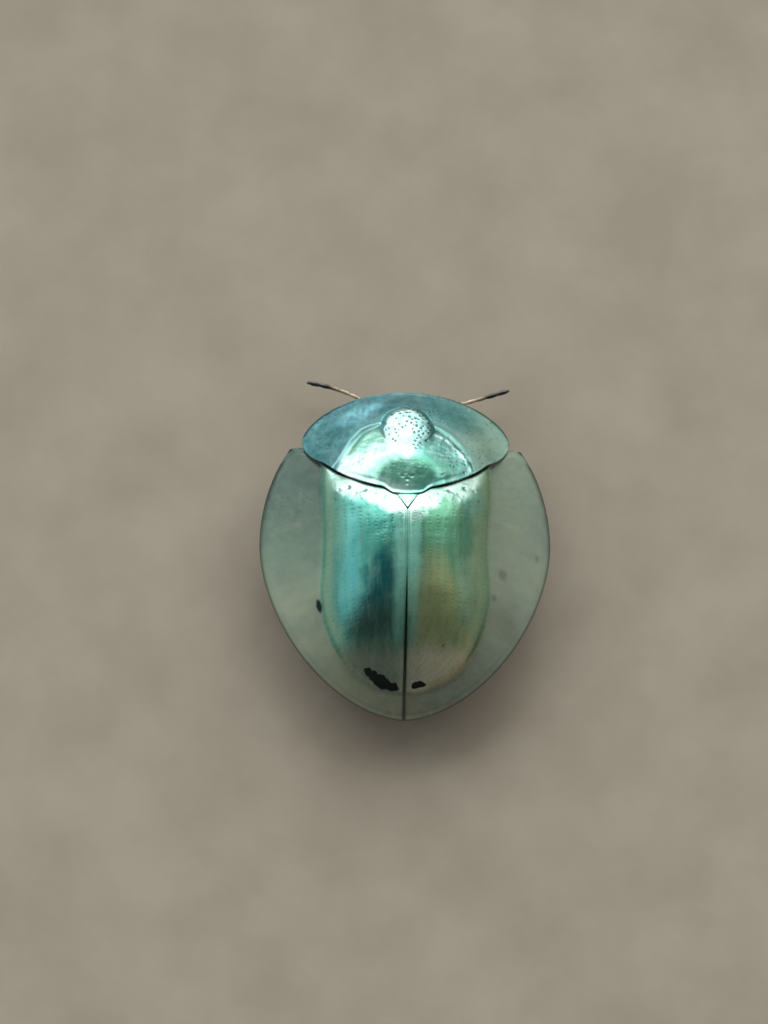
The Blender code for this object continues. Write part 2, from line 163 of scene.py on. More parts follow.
def elytron_curves():
    half = 0.007
    ys = np.linspace(1.5, SCUT_TIP - 0.05, 60)
    inner = np.stack([np.full(60, half), ys], 1)
    t = np.linspace(0, math.pi / 2, 240)
    s, c = np.sin(t), np.maximum(0, np.cos(t))
    y = DISC_TURN_Y - (DISC_TURN_Y - DISC_REAR_Y) * c ** (2 / DISC_POWER)
    disc = np.stack([half + (disc_half(y) - half) * s ** (2 / DISC_POWER), y], 1)
    outer = np.stack([half + (HALF_W - half) * s ** (2 / REAR_POWER), WIDEST_Y - REAR * c ** (2 / REAR_POWER)], 1)
    disc_x = DISC_W + 0.02
    k = np.linspace(0, 1, 120)[1:]
    y = DISC_TURN_Y + (float(elytra_front(disc_x)) - DISC_TURN_Y) * k
    disc = np.concatenate([disc, np.stack([disc_half(y) + (disc_x - disc_half(y)) * k ** 4, y], 1)])
    end = math.acos(HUMERAL_X / HALF_W)
    t = np.linspace(0, end, 160)[1:]
    outer = np.concatenate([outer, np.stack([HALF_W * np.cos(t), WIDEST_Y + FRONT * np.sin(t)], 1)])
    start = SCUT_HALF + 0.045
    xa = np.linspace(start, disc_x, 200)
    xb = np.linspace(disc_x, HUMERAL_X, 120)
    front_a = np.stack([xa, elytra_front(xa)], 1)
    front_b = np.stack([xb, elytra_front(xb)], 1)
    inner = np.concatenate([inner, front_a[:1]])
    outer[-1] = front_b[-1]
    return inner, disc, outer, front_a, front_b


def patch(edge_a, edge_b, front, across, along):
    a, b, f = resample(edge_a, along), resample(edge_b, along), resample(front, across)
    s = np.linspace(0, 1, across + 1)[:, None, None]
    plan = (1 - s) * a[None] + s * b[None]
    v = (np.linspace(0, 1, along + 1) ** 3)[None, :, None]
    return plan + v * (f[:, None] - plan[:, -1:])


def normals(height, x, y, step=0.03):
    dx = (height(x + step, y) - height(x - step, y)) / (2 * step)
    dy = (height(x, y + step) - height(x, y - step)) / (2 * step)
    n = np.stack([-dx, -dy, np.ones_like(dx)], -1)
    return n / np.linalg.norm(n, axis=-1, keepdims=True)


def wander(x, y, seed, scale, octaves=3):
    """Smooth noise from a few crossed waves, about -1 to 1."""
    rng = np.random.default_rng(seed)
    out = np.zeros_like(x, dtype=float)
    for o in range(octaves):
        for _ in range(4):
            a, p, f = rng.uniform(0, math.pi), rng.uniform(0, 6.28), rng.uniform(0.7, 1.4) * 2 ** o / scale
            out = out + np.sin(2 * math.pi * f * (x * math.cos(a) + y * math.sin(a)) + p) / (4 * 1.6 ** o)
    return out


# ---- making meshes --------------------------------------------------------------------------
def to_world(p):
    p = np.array(p, float)
    p[..., 1] -= Y_ORIGIN
    return p * MM


def make(name, verts, faces, attributes=None, sharp=None):
    """verts in millimetres on the plan axes with z over the floor; faces are arrays of 3 or 4 columns."""
    mesh = bpy.data.meshes.new(name)
    verts = to_world(np.asarray(verts).reshape(-1, 3)).astype(np.float32)
    faces = [np.asarray(f, np.int32) for f in faces if len(f)]
    loops = np.concatenate([f.ravel() for f in faces])
    sizes = np.concatenate([np.full(len(f), f.shape[1], np.int32) for f in faces])
    starts = np.concatenate([[0], np.cumsum(sizes)[:-1]]).astype(np.int32)
    mesh.vertices.add(len(verts))
    mesh.vertices.foreach_set("co", verts.ravel())
    mesh.loops.add(len(loops))
    mesh.loops.foreach_set("vertex_index", loops)
    mesh.polygons.add(len(sizes))
    mesh.polygons.foreach_set("loop_start", starts)
    mesh.polygons.foreach_set("use_smooth", np.ones(len(sizes), bool))
    mesh.update(calc_edges=True)
    mesh.validate()
    for key, values in (attributes or {}).items():
        layer = mesh.attributes.new(key, "FLOAT", "POINT")
        layer.data.foreach_set("value", np.asarray(values, np.float32).ravel())
    if sharp:
        mesh.set_sharp_from_angle(angle=math.radians(sharp))
    obj = bpy.data.objects.new(name, mesh)
    bpy.context.scene.collection.objects.link(obj)
    return obj


def grid_faces(rows, cols, offset=0, flip=False, wrap=False):
    j, i = np.meshgrid(np.arange(rows - 1), np.arange(cols if wrap else cols - 1), indexing="ij")
    k = (i + 1) % cols
    a, b, c, d = (offset + j * cols + i, offset + j * cols + k, offset + (j + 1) * cols + k, offset + (j + 1) * cols + i)
    quads = np.stack([a, b, c, d], -1).reshape(-1, 4)
    return quads[:, ::-1] if flip else quads


def thick_shell(name, top, bottom, step, attributes, mirror=False, sharp=60):
    """A closed thin shell: a fine upper grid and a lower grid `step` times coarser, joined all round the edge."""
    rows, cols = top.shape[:2]
    lower = bottom[::step, ::step]
    lr, lc = lower.shape[:2]
    n = rows * cols
    upper_ring = [(0, i) for i in range(cols)] + [(j, cols - 1) for j in range(1, rows)]
    upper_ring += [(rows - 1, i) for i in range(cols - 2, -1, -1)] + [(j, 0) for j in range(rows - 2, 0, -1)]
    up = np.array([j * cols + i for j, i in upper_ring])
    low = np.array([n + (j // step) * lc + i // step for j, i in upper_ring[::step]])
    count = len(low)
    walls = []
    for k in range(count):
        at = [up[(k * step + m) % len(up)] for m in range(step + 1)]
        walls.append(at + [low[(k + 1) % count], low[k]])
    faces = [grid_faces(rows, cols, 0, True), grid_faces(lr, lc, n), np.array(walls)]
    verts = np.concatenate([top.reshape(-1, 3), lower.reshape(-1, 3)])
    if mirror:
        verts = verts * (-1, 1, 1)
        faces = [f[:, ::-1] for f in faces]
    both = {k: np.concatenate([v.ravel(), v[::step, ::step].ravel()]) for k, v in attributes.items()}
    return make(name, verts, faces, both, sharp)


def pits(x, y, centres, radius):
    """0 to 1 at each grid point: how deep it lies in the nearest round pit."""
    out = np.zeros(x.shape)
    for (cx, cy), r in zip(centres, np.broadcast_to(radius, len(centres))):
        near = (np.abs(x - cx) < 2.2 * r) & (np.abs(y - cy) < 2.2 * r)
        if near.any():
            d2 = ((x[near] - cx) ** 2 + (y[near] - cy) ** 2) / (r * r)
            out[near] = np.maximum(out[near], np.exp(-d2 * 1.6))
    return out


def ellipse(x, y, cx, cy, rx, ry, turn=0.0, soft=0.5):
    """1 inside a soft-edged ellipse, 0 outside."""
    c, s = math.cos(math.radians(turn)), math.sin(math.radians(turn))
    u, v = (x - cx) * c + (y - cy) * s, -(x - cx) * s + (y - cy) * c
    return 1 - smooth(1 - soft, 1 + soft, np.sqrt((u / rx) ** 2 + (v / ry) ** 2))


def line_distance(x, y, points):
    """Distance from each grid point to a polyline."""
    best = np.full(x.shape, 1e9)
    for (ax, ay), (bx, by) in zip(points[:-1], points[1:]):
        dx, dy = bx - ax, by - ay
        t = np.clip(((x - ax) * dx + (y - ay) * dy) / (dx * dx + dy * dy), 0, 1)
        best = np.minimum(best, np.hypot(x - ax - t * dx, y - ay - t * dy))
    return best


# ---- the wing cases -------------------------------------------------------------------------
DISC_ACROSS, MARGIN_ACROSS, ALONG, STEP = 108, 42, 480, 6


def elytron(side):
    sign = 1 if side == "right" else -1
    rng = np.random.default_rng(5 if side == "right" else 6)
    inner, disc, outer, front_a, front_b = elytron_curves()
    zone_a = patch(inner, disc, front_a, DISC_ACROSS, ALONG)
    zone_b = patch(disc, outer, front_b, MARGIN_ACROSS, ALONG)
    plan = np.concatenate([zone_a, zone_b[1:]])
    s = np.concatenate([np.linspace(0, 1, DISC_ACROSS + 1), 1 + np.linspace(0, 1, MARGIN_ACROSS + 1)[1:]])
    s = s[:, None] * np.ones(ALONG + 1)
    v = np.ones(s.shape) * np.linspace(0, 1, ALONG + 1)
    x, y = plan[..., 0], plan[..., 1]
    rho = elytra_rho(x, y)
    on_disc = np.where(s <= 1, 1 - smooth(0.985, 1.03, rho), 0.0) + np.where(s > 1, 1 - smooth(0.985, 1.03, rho), 0.0)

    # ten rows of punctures that run from the base to the rear, then coarser ones along the disc's edge
    centres, sizes = [], []
    for k in range(10):
        row = 0.075 + 0.093 * k
        at = 0.04 + 0.012 * rng.random()
        while at < 0.985:
            i = int(round((row + 0.006 * rng.standard_normal()) * DISC_ACROSS))
            j = int(round(at * ALONG))
            if rng.random() > (0.25 if at < 0.86 else 0.75):
                centres.append(tuple(zone_a[min(max(i, 2), DISC_ACROSS), j]))
                sizes.append(0.030 + 0.010 * rng.random() + (0.012 if at > 0.8 else 0.0))
            at += 0.0155 + 0.004 * rng.random()
    edge_centres, edge_sizes = [], []
    at = 0.05
    while at < 0.97:
        j = int(round(at * ALONG))
        edge_centres.append(tuple(zone_a[DISC_ACROSS - 2, j] + rng.normal(0, 0.012, 2)))
        edge_sizes.append(0.055 + 0.02 * rng.random())
        at += 0.019 + 0.006 * rng.random()
    pit = pits(x, y, centres, np.array(sizes))
    edge_pit = pits(x, y, edge_centres, np.array(edge_sizes))
    shoulder = [(1.16, 6.08), (1.60, 6.22), (1.40, 6.02), (1.86, 6.18), (0.86, 5.95), (0.62, 5.80), (1.98, 5.9), (0.9, 5.62)]
    deep = pits(x, y, shoulder, np.array([0.070, 0.075, 0.04, 0.05, 0.04, 0.035, 0.04, 0.03])) * 0.45
    deep = np.maximum(deep, pits(x, y, shoulder[:2], np.array([0.065, 0.07])))

    fissure = np.maximum(deep, 0.8 * bell(line_distance(x, y, [(1.18, 6.10), (1.30, 5.96), (1.24, 5.78)]), 0.028))
    fissure = np.maximum(fissure, 0.8 * bell(line_distance(x, y, [(1.30, 5.96), (1.46, 5.90), (1.52, 5.76)]), 0.022))
    fissure = np.maximum(fissure, 0.6 * bell(line_distance(x, y, [(0.58, 5.86), (0.66, 5.70)]), 0.020))

    to_edge = (2 - s) * np.hypot(*(zone_b[-1] - zone_b[0]).T)[None, :]
    rim = np.where(s > 1, bell(to_edge, 0.045), 0.0)
    to_suture = (x - 0.007)
    bead = bell(to_suture - 0.05, 0.035)
    parted = smooth(4.3, 2.8, y)
    angle = np.arctan2(x, y - WIDEST_Y)
    margin = smooth(1.0, 1.12, s)
    ripple = np.sin(angle * 150 + 3 * wander(x, y, 11, 1.2)) * 0.5 + np.sin(angle * 97 + 2 * wander(x, y, 12, 0.8)) * 0.5
    stipple = wander(x, y, 13, 0.14, 2)

    front = elytra_front(x)
    z = case_surface(x, y) - 0.085 * smooth(front - 0.22, front - 0.05, y) * smooth(2.25, 2.5, x)
    n = normals(case_surface, x, y)
    out = 0.012 * wander(x * sign, y, 14, 1.5, 2) * on_disc
    out = out + 0.0018 * wander(x * sign, y, 15, 0.35, 2) * on_disc
    out = out - 0.0036 * pit - 0.0055 * edge_pit - 0.034 * deep
    out = out + 0.006 * bead - 0.008 * bell(to_suture - 0.13, 0.05) - 0.030 * bell(to_suture, 0.022) * (0.25 + 0.75 * parted)
    out = out + 0.020 * rim - 0.008 * np.where(s > 1, bell(to_edge - 0.11, 0.05), 0)
    out = out - 0.014 * bell(rho - 1.02, 0.040) * np.where(s > 0.5, 1, 0) + 0.009 * bell(rho - 0.955, 0.035) * smooth(0.4, 0.8, s)
    out = out - 0.020 * bell(front - y, 0.045) * (1 - smooth(2.3, 2.6, x))
    out = out + margin * (0.0002 * ripple + 0.0007 * stipple) * (1 - rim)
    out = out + 0.004 * margin * wander(x, y, 16, 1.1, 2)
    thick = 0.16 - 0.09 * smooth(1.0, 1.9, s)
    top = np.concatenate([plan, (z + RIM_Z)[..., None]], -1) + n * out[..., None]
    bottom = np.concatenate([plan, (z + RIM_Z)[..., None]], -1) - n * thick[..., None]
    # a flange under the front edge reaches below the rear edge of the pronotum
    reach = smooth(0.16, 0.0, front - y) * (1 - smooth(2.25, 2.55, x))
    below = pronotum_disc(x, front + 0.16) + RIM_Z - 0.20
    bottom[..., 1] += 0.15 * reach
    bottom[..., 2] += np.minimum(below - bottom[..., 2], 0.0) * reach
    # at the shoulder its last row rises to the underside of the pronotum's margin
    lip = smooth(0.012, 0.0, front - y) * smooth(1.75, 1.95, x) * (1 - smooth(2.80, 2.90, x))
    roof = pronotum_height(x, front + 0.14) + RIM_Z - 0.17 + 0.08 * smooth(1.95, 2.30, x)
    bottom[..., 1] += (front + 0.14 - bottom[..., 1]) * lip
    bottom[..., 2] += np.maximum(roof - bottom[..., 2], 0.0) * lip
    bottom[..., 0] = np.maximum(bottom[..., 0], 0.0075)
    # the two cases part a little towards the rear
    gape = (0.0075 * smooth(4.4, 1.6, y) - 0.0045) * bell(s, 0.12)
    top[..., 0] += gape
    bottom[..., 0] += gape

    X = x * sign
    # pit, fissure and seam are painted darker in the material: painted shade in the pits, the fissures, the suture and
    # the gap at the front edge
    attributes = {"disc": on_disc, "rim": rim, "pit": np.maximum(0.8 * pit, 0.5 * edge_pit), "fissure": fissure,
                  "ripple": margin * ripple, "across": s,
                  "seam": np.maximum(bell(to_suture, 0.026 + 0.022 * smooth(4.2, 1.4, y)) * (x < 0.5) * (0.40 + 0.60 * parted),
                                     bell(front - y, 0.021) * (1 - smooth(2.3, 2.5, x))),
                  "line": np.where(s > 1, bell(to_edge, 0.055), 0.0), "plan_x": X, "plan_y": y}
    attributes.update(elytron_colours(X, y, s, rho, pit))
    obj = thick_shell("wing_case_" + side, top, bottom, STEP, attributes, sign < 0)
    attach(obj, "root")
    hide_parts("elytron_" + side)
    return obj


def elytron_colours(x, y, s, rho, pit):
    """Masks, 0 to 1, of where each tint of the metallic disc shows; the tints are partly its own iridescent colour and
    partly painted reflections and painted highlights.
    """
    w = 0.10 * wander(x, y, 31, 0.9, 3)
    xs, ys = x + w, y + 0.6 * w
    streak = 0.5 + 0.5 * wander(x * 2.6, y * 0.35, 33, 0.5, 3)
    # cyan and teal on the left, green and olive on the right, gold and darker tones at the rear: partly the disc's own
    # iridescent colour and partly painted reflections
    cyan = ellipse(xs, ys, -1.68, 4.2, 0.40, 1.75, 0, 0.35) * (0.85 + 0.15 * streak)
    teal = ellipse(xs, ys, -0.85, 4.85, 0.75, 1.1, 0, 0.5)
    teal = np.maximum(teal, 0.75 * ellipse(xs, ys, 1.66, 5.15, 0.19, 0.85, 0, 0.6))
    cyan = np.maximum(cyan, 0.75 * ellipse(xs, ys, -1.98, 5.60, 0.24, 0.55, 0, 0.6))
    cyan = np.maximum(cyan, 0.45 * ellipse(xs, ys, 1.88, 5.85, 0.22, 0.45, 0, 0.6))
    navy = ellipse(xs, ys, -0.70, 3.55, 0.47, 0.72, 0, 0.35)
    navy = np.maximum(navy, 0.95 * ellipse(xs, ys, -0.80, 2.75, 0.50, 0.66, -10, 0.45))
    navy = np.maximum(navy, 0.75 * ellipse(xs, ys, -1.20, 2.50, 0.36, 0.42, -30, 0.5))
    dark = ellipse(xs, ys, -0.80, 2.1, 0.82, 0.74, 0, 0.5)
    # pale strips beside the suture and a pale band on the left: painted highlights
    xp = x + 0.35 * w
    pale = ellipse(xp, ys, -0.20, 4.1, 0.14, 1.7, 0, 0.9) + ellipse(xp, ys, 0.18, 4.2, 0.16, 1.5, 0, 0.9)
    pale = pale + 0.40 * ellipse(xs, ys, -1.74, 5.25, 0.26, 0.8, 0, 0.7)
    green = ellipse(xs, ys, 0.95, 4.75, 0.75, 1.0, 0, 0.45)
    gold = np.maximum(ellipse(xs, ys, 0.80, 2.72, 0.66, 1.36, 4, 0.55), 0.75 * ellipse(xs, ys, 1.32, 2.20, 0.42, 0.60, 20, 0.6))
    gold = gold * (0.80 + 0.20 * streak)
    olive = smooth(1.15, 1.75, xs) * smooth(0.9, 2.4, ys)
    # a pale band along the left edge of the disc: painted highlight
    edge = bell(rho - 0.93, 0.075) * smooth(1.6, 2.4, ys) * smooth(-1.2, -1.9, xs)
    # greyer at the rear of the disc, beige on the right: painted reflection
    grey = (1 - smooth(1.55, 2.25, ys + 0.15 * streak)) * (rho < 1.05)
    arc = bell(rho - 0.99, 0.05) * smooth(0.2, 0.9, x) * (1 - smooth(2.1, 2.9, y))
    # a pale band across the base of the wing cases: painted highlight
    front = elytra_front(np.abs(x))
    reach = 0.42 + 0.16 * (1 - smooth(0.35, 0.9, np.abs(x))) + 0.16 * wander(x, y * 0.5, 35, 0.8, 3)
    base = (1 - smooth(reach, reach + 0.26, front - y)) * (1 - smooth(1.85, 2.2, np.abs(x)))
    black = np.zeros(x.shape)
    jag = 0.035 * wander(x, y, 34, 0.22, 2)
    for cx, cy, rx, ry, turn in ((-0.88, 1.16, 0.29, 0.115, -34), (-0.64, 1.00, 0.28, 0.165, -30), (-0.36, 0.88, 0.23, 0.11, -12),
                                 (0.40, 0.935, 0.19, 0.080, 3), (0.29, 0.90, 0.11, 0.075, 0)):
        black = np.maximum(black, ellipse(x + jag * 0.5, y + jag * 0.5, cx, cy, rx, ry, turn, 0.12))
    black = np.maximum(black, ellipse(x + jag * 0.4, y, -2.37, 3.08, 0.070, 0.20, 14, 0.3))
    black = np.maximum(black, 0.75 * ellipse(x, y, 1.02, 1.89, 0.035, 0.03, 0, 0.4))
    # dark patches on the right margin: painted shade
    smudge = 0.55 * ellipse(x + jag, y, 2.70, 4.02, 0.11, 0.17, 30, 0.6) + 0.5 * ellipse(x, y, 2.45, 3.37, 0.06, 0.10, 0, 0.6)
    smudge = smudge + 0.5 * ellipse(x, y, 3.66, 4.57, 0.05, 0.10, 0, 0.6) + 0.35 * ellipse(x + jag, y + jag, 2.75, 2.7, 0.35, 0.6, 25, 0.7)
    return {"cyan": cyan, "teal": teal, "navy": navy, "dark": dark, "pale": np.clip(pale, 0, 1), "green": green, "gold": gold,
            "olive": olive, "edge": edge, "grey": grey, "base": base, "arc": arc, "black": black, "smudge": smudge, "streak": streak}


# ---- the pronotum ---------------------------------------------------------------------------
PRO_COLS, PRO_ROWS = 360, 198
RIDGE_L = [(-2.06, 6.86), (-1.93, 7.05), (-1.78, 7.30), (-1.56, 7.69), (-1.28, 8.01), (-1.01, 8.15), (-0.66, 8.24)]
RIDGE_R = [(0.58, 8.22), (0.93, 8.08), (1.21, 7.90), (1.46, 7.66), (1.77, 7.36), (1.96, 7.06), (2.04, 6.88)]
INNER_R = [(0.64, 7.90), (1.06, 7.74), (1.33, 7.50), (1.62, 7.16), (1.80, 6.86)]


def pronotum():
    rng = np.random.default_rng(8)
    u = np.linspace(0, 1, PRO_COLS + 1)
    v = np.linspace(0, 1, PRO_ROWS + 1)
    xs = PRO_W * np.sin(math.pi * (u - 0.5)) * 0.9995
    x = xs[:, None] * np.ones(PRO_ROWS + 1)
    y0, y1 = pronotum_rear(xs), pronotum_front(xs)
    y = y0[:, None] + (y1 - y0)[:, None] * v[None]
    rho = pronotum_rho(x, y)
    on_boss = 1 - smooth(0.95, 1.10, np.sqrt(boss_rho2(x, y)))
    on_disc = np.maximum(1 - smooth(0.93, 1.02, rho), on_boss)
    centres, sizes = [], []
    tries = 0
    while len(centres) < 58 and tries < 6000:
        tries += 1
        c = (rng.uniform(-0.68, 0.68), rng.uniform(7.30, 8.68))
        if ((c[0] / 0.66) ** 2 + ((c[1] - 7.98) / 0.72) ** 2) > 1 or ((c[0] / 0.20) ** 2 + ((c[1] - 7.60) / 0.42) ** 2) < 1:
            continue
        crowded = 0.85 * smooth(-0.10, 0.30, c[0]) + 0.75 * smooth(8.20, 8.45, c[1])
        if rng.random() > 0.22 + crowded:
            continue
        if centres and min((c[0] - a) ** 2 + (c[1] - b) ** 2 for a, b in centres) < 0.082 ** 2:
            continue
        centres.append(c)
        sizes.append(rng.uniform(0.022, 0.043))
    coarse = pits(x, y, centres, np.array(sizes))
    fine_centres = [(rng.uniform(-2.6, 2.6), rng.uniform(6.2, 9.2)) for _ in range(520)]
    fine = pits(x, y, fine_centres, rng.uniform(0.016, 0.030, 520))
    side_centres = [(rng.uniform(0.95, 1.85), rng.uniform(6.5, 7.9)) for _ in range(26)]
    side_pits = 0.45 * pits(x, y, side_centres, rng.uniform(0.025, 0.045, 26)) * on_disc
    fold = pits(x, y, [(-0.13, 6.44), (0.13, 6.45), (0.0, 6.35), (0.0, 6.22)], np.array([0.055, 0.055, 0.045, 0.04])) * 0.30
    ridge = np.maximum(bell(line_distance(x, y, RIDGE_L), 0.042), bell(line_distance(x, y, RIDGE_R), 0.042) * (1 - 0.75 * smooth(1.35, 1.75, x)))
    outside = np.maximum(bell(line_distance(x, y, [(a * 1.07, b + 0.10) for a, b in RIDGE_L]), 0.07),
                         bell(line_distance(x, y, [(a * 1.07, b + 0.10) for a, b in RIDGE_R]), 0.07))
    inside = np.maximum(bell(line_distance(x, y, [(a * 0.93, b - 0.10) for a, b in RIDGE_L]), 0.075),
                        bell(line_distance(x, y, [(a * 0.93, b - 0.10) for a, b in RIDGE_R]), 0.075)) * smooth(7.0, 7.7, y)
    inner = bell(line_distance(x, y, INNER_R), 0.05)
    to_front = (y1[:, None] - y)
    rim_run = np.minimum(to_front, (PRO_W - np.abs(x)) * 1.0 + 0.0)
    rim = bell(rim_run, 0.04)
    lip = bell((y - y0[:, None]) - 0.03, 0.035) * (0.35 + 0.65 * (1 - smooth(0.4, 0.75, np.abs(x))))
    trough = bell((y - y0[:, None]) - 0.14, 0.05) * smooth(1.9, 1.0, np.abs(x))
    angle = np.arctan2(x, y - 6.6)
    margin = smooth(0.98, 1.10, rho) * (1 - on_boss)
    ripple = np.sin(angle * 120 + 3 * wander(x, y, 21, 1.0))
    stipple = wander(x, y, 22, 0.12, 2)

    z = pronotum_height(x, y)
    n = normals(pronotum_height, x, y)
    out = 0.020 * ridge * (1 - 0.45 * smooth(0.2, 0.9, x)) - 0.006 * outside - 0.014 * inside + 0.010 * inner
    out = out - 0.026 * coarse - 0.010 * fine * (0.35 + 0.65 * margin) - 0.022 * side_pits - 0.035 * fold
    out = out + 0.018 * rim + 0.016 * lip - 0.004 * trough
    out = out + on_disc * 0.005 * wander(x, y, 23, 1.1, 2) + 0.0024 * on_disc * (1 - 0.8 * ellipse(x, y, 0.0, 6.62, 1.15, 0.55, 0, 0.5)) * wander(x, y, 24, 0.35, 2)
    out = out + margin * (0.0008 * ripple + 0.0009 * stipple) * (1 - rim) + 0.008 * margin * wander(x, y, 25, 0.9, 2)
    thick = 0.15 - 0.08 * margin
    point = np.concatenate([x[..., None], y[..., None], (z + RIM_Z)[..., None]], -1)
    top = point + n * out[..., None]
    n_low = n * 1.0
    n_low[..., 1] *= smooth(0.0, 0.1, v)[None]
    bottom = point - n_low * thick[..., None]
    # pit, inside and rear are painted darker in the material: painted shade in the pits, the groove inside the ridges
    # and the gap at the rear edge
    attributes = {"disc": on_disc, "rim": rim, "pit": np.maximum.reduce([coarse, 0.55 * fine * margin, side_pits, fold]),
                  "ripple": margin * ripple, "ridge": ridge, "inside": inside, "line": bell(rim_run, 0.045), "rear": bell(y - y0[:, None], 0.015), "plan_x": x, "plan_y": y, "across": rho}
    # pale flecks along the inner ridge: painted glints
    attributes["fleck"] = bell(line_distance(x, y, INNER_R), 0.12) * on_disc
    attributes.update(pronotum_colours(x, y, rho))
    obj = thick_shell("pronotum_shield", top, bottom, 6, attributes)
    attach(obj, "root")
    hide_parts("pronotum")
    return obj


def pronotum_colours(x, y, rho):
    w = 0.08 * wander(x, y, 41, 0.8, 3)
    # left: the disc is painted lighter on its left side: painted highlight
    left = smooth(0.5, -0.5, x + w)
    front = smooth(7.6, 8.9, y + w)
    # band: darker over the flat middle behind the boss: painted shade
    band = ellipse(x + w, y + w, 0.10, 6.67, 1.08, 0.47, 0, 0.45)
    shade = ellipse(x + w, y + w, -1.15, 7.66, 0.62, 0.32, 35, 0.5)
    glint = ellipse(x + w, y + w, -1.30, 8.60, 0.60, 0.20, 26, 0.9) * (0.62 + 0.38 * wander(x, y, 43, 0.45, 3))
    glint = np.clip(glint, 0, 1)
    # a darker teal patch at the right front of the margin: partly its own colour and partly painted reflection
    teal_patch = ellipse(x + w, y + w, 1.15, 8.62, 0.86, 0.48, -24, 0.6)
    out_from_boss = np.sqrt(boss_rho2(x, y))
    # boss: a paler tint over the boss: painted highlight
    boss = 1 - smooth(0.78, 0.94, out_from_boss)
    # ring: darker round the boss, darkest on the right: painted shade
    ring = np.clip(1.2 * bell(out_from_boss - 0.98, 0.13), 0, 1) * smooth(-0.50, 0.05, y - BOSS_Y + 0.25 * x)
    # tongue: the paler boss tint reaching back from it: painted highlight
    tongue = ellipse(x, y + w, 0.02, 7.30, 0.16, 0.42, 0, 0.5)
    return {"left": left, "front": front, "band": band, "shade": shade, "glint": glint, "teal_patch": teal_patch,
            "boss": np.maximum(boss, tongue), "ring": ring}


# ---- rounded pieces -------------------------------------------------------------------------
def spline(points, count):
    """Points at even steps along a smooth curve through the given ones; extra columns are carried along."""
    p = np.asarray(points, float)
    p = np.concatenate([2 * p[:1] - p[1:2], p, 2 * p[-1:] - p[-2:-1]])
    out = []
    for i in range(1, len(p) - 2):
        t = np.linspace(0, 1, 24, endpoint=False)[:, None]
        a, b, c, d = p[i - 1], p[i], p[i + 1], p[i + 2]
        out.append(0.5 * (2 * b + (c - a) * t + (2 * a - 5 * b + 4 * c - d) * t ** 2 + (3 * b - a - 3 * c + d) * t ** 3))
    out.append(p[-2:-1])
    q = np.concatenate(out)
    run = np.concatenate([[0], np.cumsum(np.linalg.norm(np.diff(q[:, :3], axis=0), axis=1))])
    at = np.linspace(0, run[-1], count)
    return np.stack([np.interp(at, run, q[:, k]) for k in range(q.shape[1])], 1)


def sweep(path, wide, tall, seg=24, up=(0, 0, 1), bump=None, caps=6):
    """A closed tube round a path, with rounded ends. wide and tall are its half sizes at each point."""
    path = np.asarray(path, float)
    n = len(path)
    wide, tall = np.broadcast_to(wide, n).astype(float), np.broadcast_to(tall, n).astype(float)
    tangent = np.gradient(path, axis=0)
    tangent /= np.linalg.norm(tangent, axis=1, keepdims=True)
    side = np.cross(tangent, up)
    side /= np.linalg.norm(side, axis=1, keepdims=True)
    top = np.cross(side, tangent)
    t = np.linspace(0, 1, n)
    rings, ts, angles = [], [], np.linspace(0, 2 * math.pi, seg, endpoint=False)

    def ring(centre, k, size):
        a = angles[:, None]
        w, h = wide[k] * size, tall[k] * size
        extra = 1.0 if bump is None else (1 + bump(t[k], angles))[:, None]
        return centre + extra * (w * np.cos(a) * side[k] + h * np.sin(a) * top[k])

    for k in range(caps, 0, -1):
        f = k / caps * math.pi / 2
        c = path[0] - tangent[0] * min(wide[0], tall[0]) * math.sin(f) * 0.8
        rings.append(ring(c, 0, max(math.cos(f), 0.04)))
        ts.append(0.0)
    for k in range(n):
        rings.append(ring(path[k], k, 1.0))
        ts.append(t[k])
    for k in range(1, caps + 1):
        f = k / caps * math.pi / 2
        c = path[-1] + tangent[-1] * min(wide[-1], tall[-1]) * math.sin(f) * 0.8
        rings.append(ring(c, -1, max(math.cos(f), 0.04)))
        ts.append(1.0)
    verts = np.concatenate(rings)
    m = len(rings)
    faces = [grid_faces(m, seg, 0, True, True), np.arange(seg)[None], (np.arange(seg)[::-1] + (m - 1) * seg)[None]]
    return verts, faces, np.repeat(ts, seg)


def ball(centre, radii, rows=24, cols=36, shape=None, axes=None):
    """A closed rounded body; shape(directions) returns a factor for each direction."""
    lat = np.linspace(-math.pi / 2, math.pi / 2, rows + 1)[1:-1]
    lon = np.linspace(0, 2 * math.pi, cols, endpoint=False)
    d = np.stack([np.outer(np.cos(lat), np.cos(lon)), np.outer(np.cos(lat), np.sin(lon)), np.outer(np.sin(lat), np.ones(cols))], -1)
    d = np.concatenate([[[0, 0, -1.0]], d.reshape(-1, 3), [[0, 0, 1.0]]])
    f = np.ones(len(d)) if shape is None else shape(d)
    p = d * np.asarray(radii) * f[:, None]
    if axes is not None:
        p = p @ np.asarray(axes, float)
    last = len(d) - 1
    i = np.arange(cols)
    faces = [grid_faces(rows - 1, cols, 1, False, True),
             np.stack([np.zeros(cols, int), 1 + (i + 1) % cols, 1 + i], 1),
             np.stack([np.full(cols, last), last - cols + i, last - cols + (i + 1) % cols], 1)]
    if axes is not None and np.linalg.det(np.asarray(axes, float)) < 0:
        faces = [f[:, ::-1] for f in faces]
    return p + np.asarray(centre), faces, d


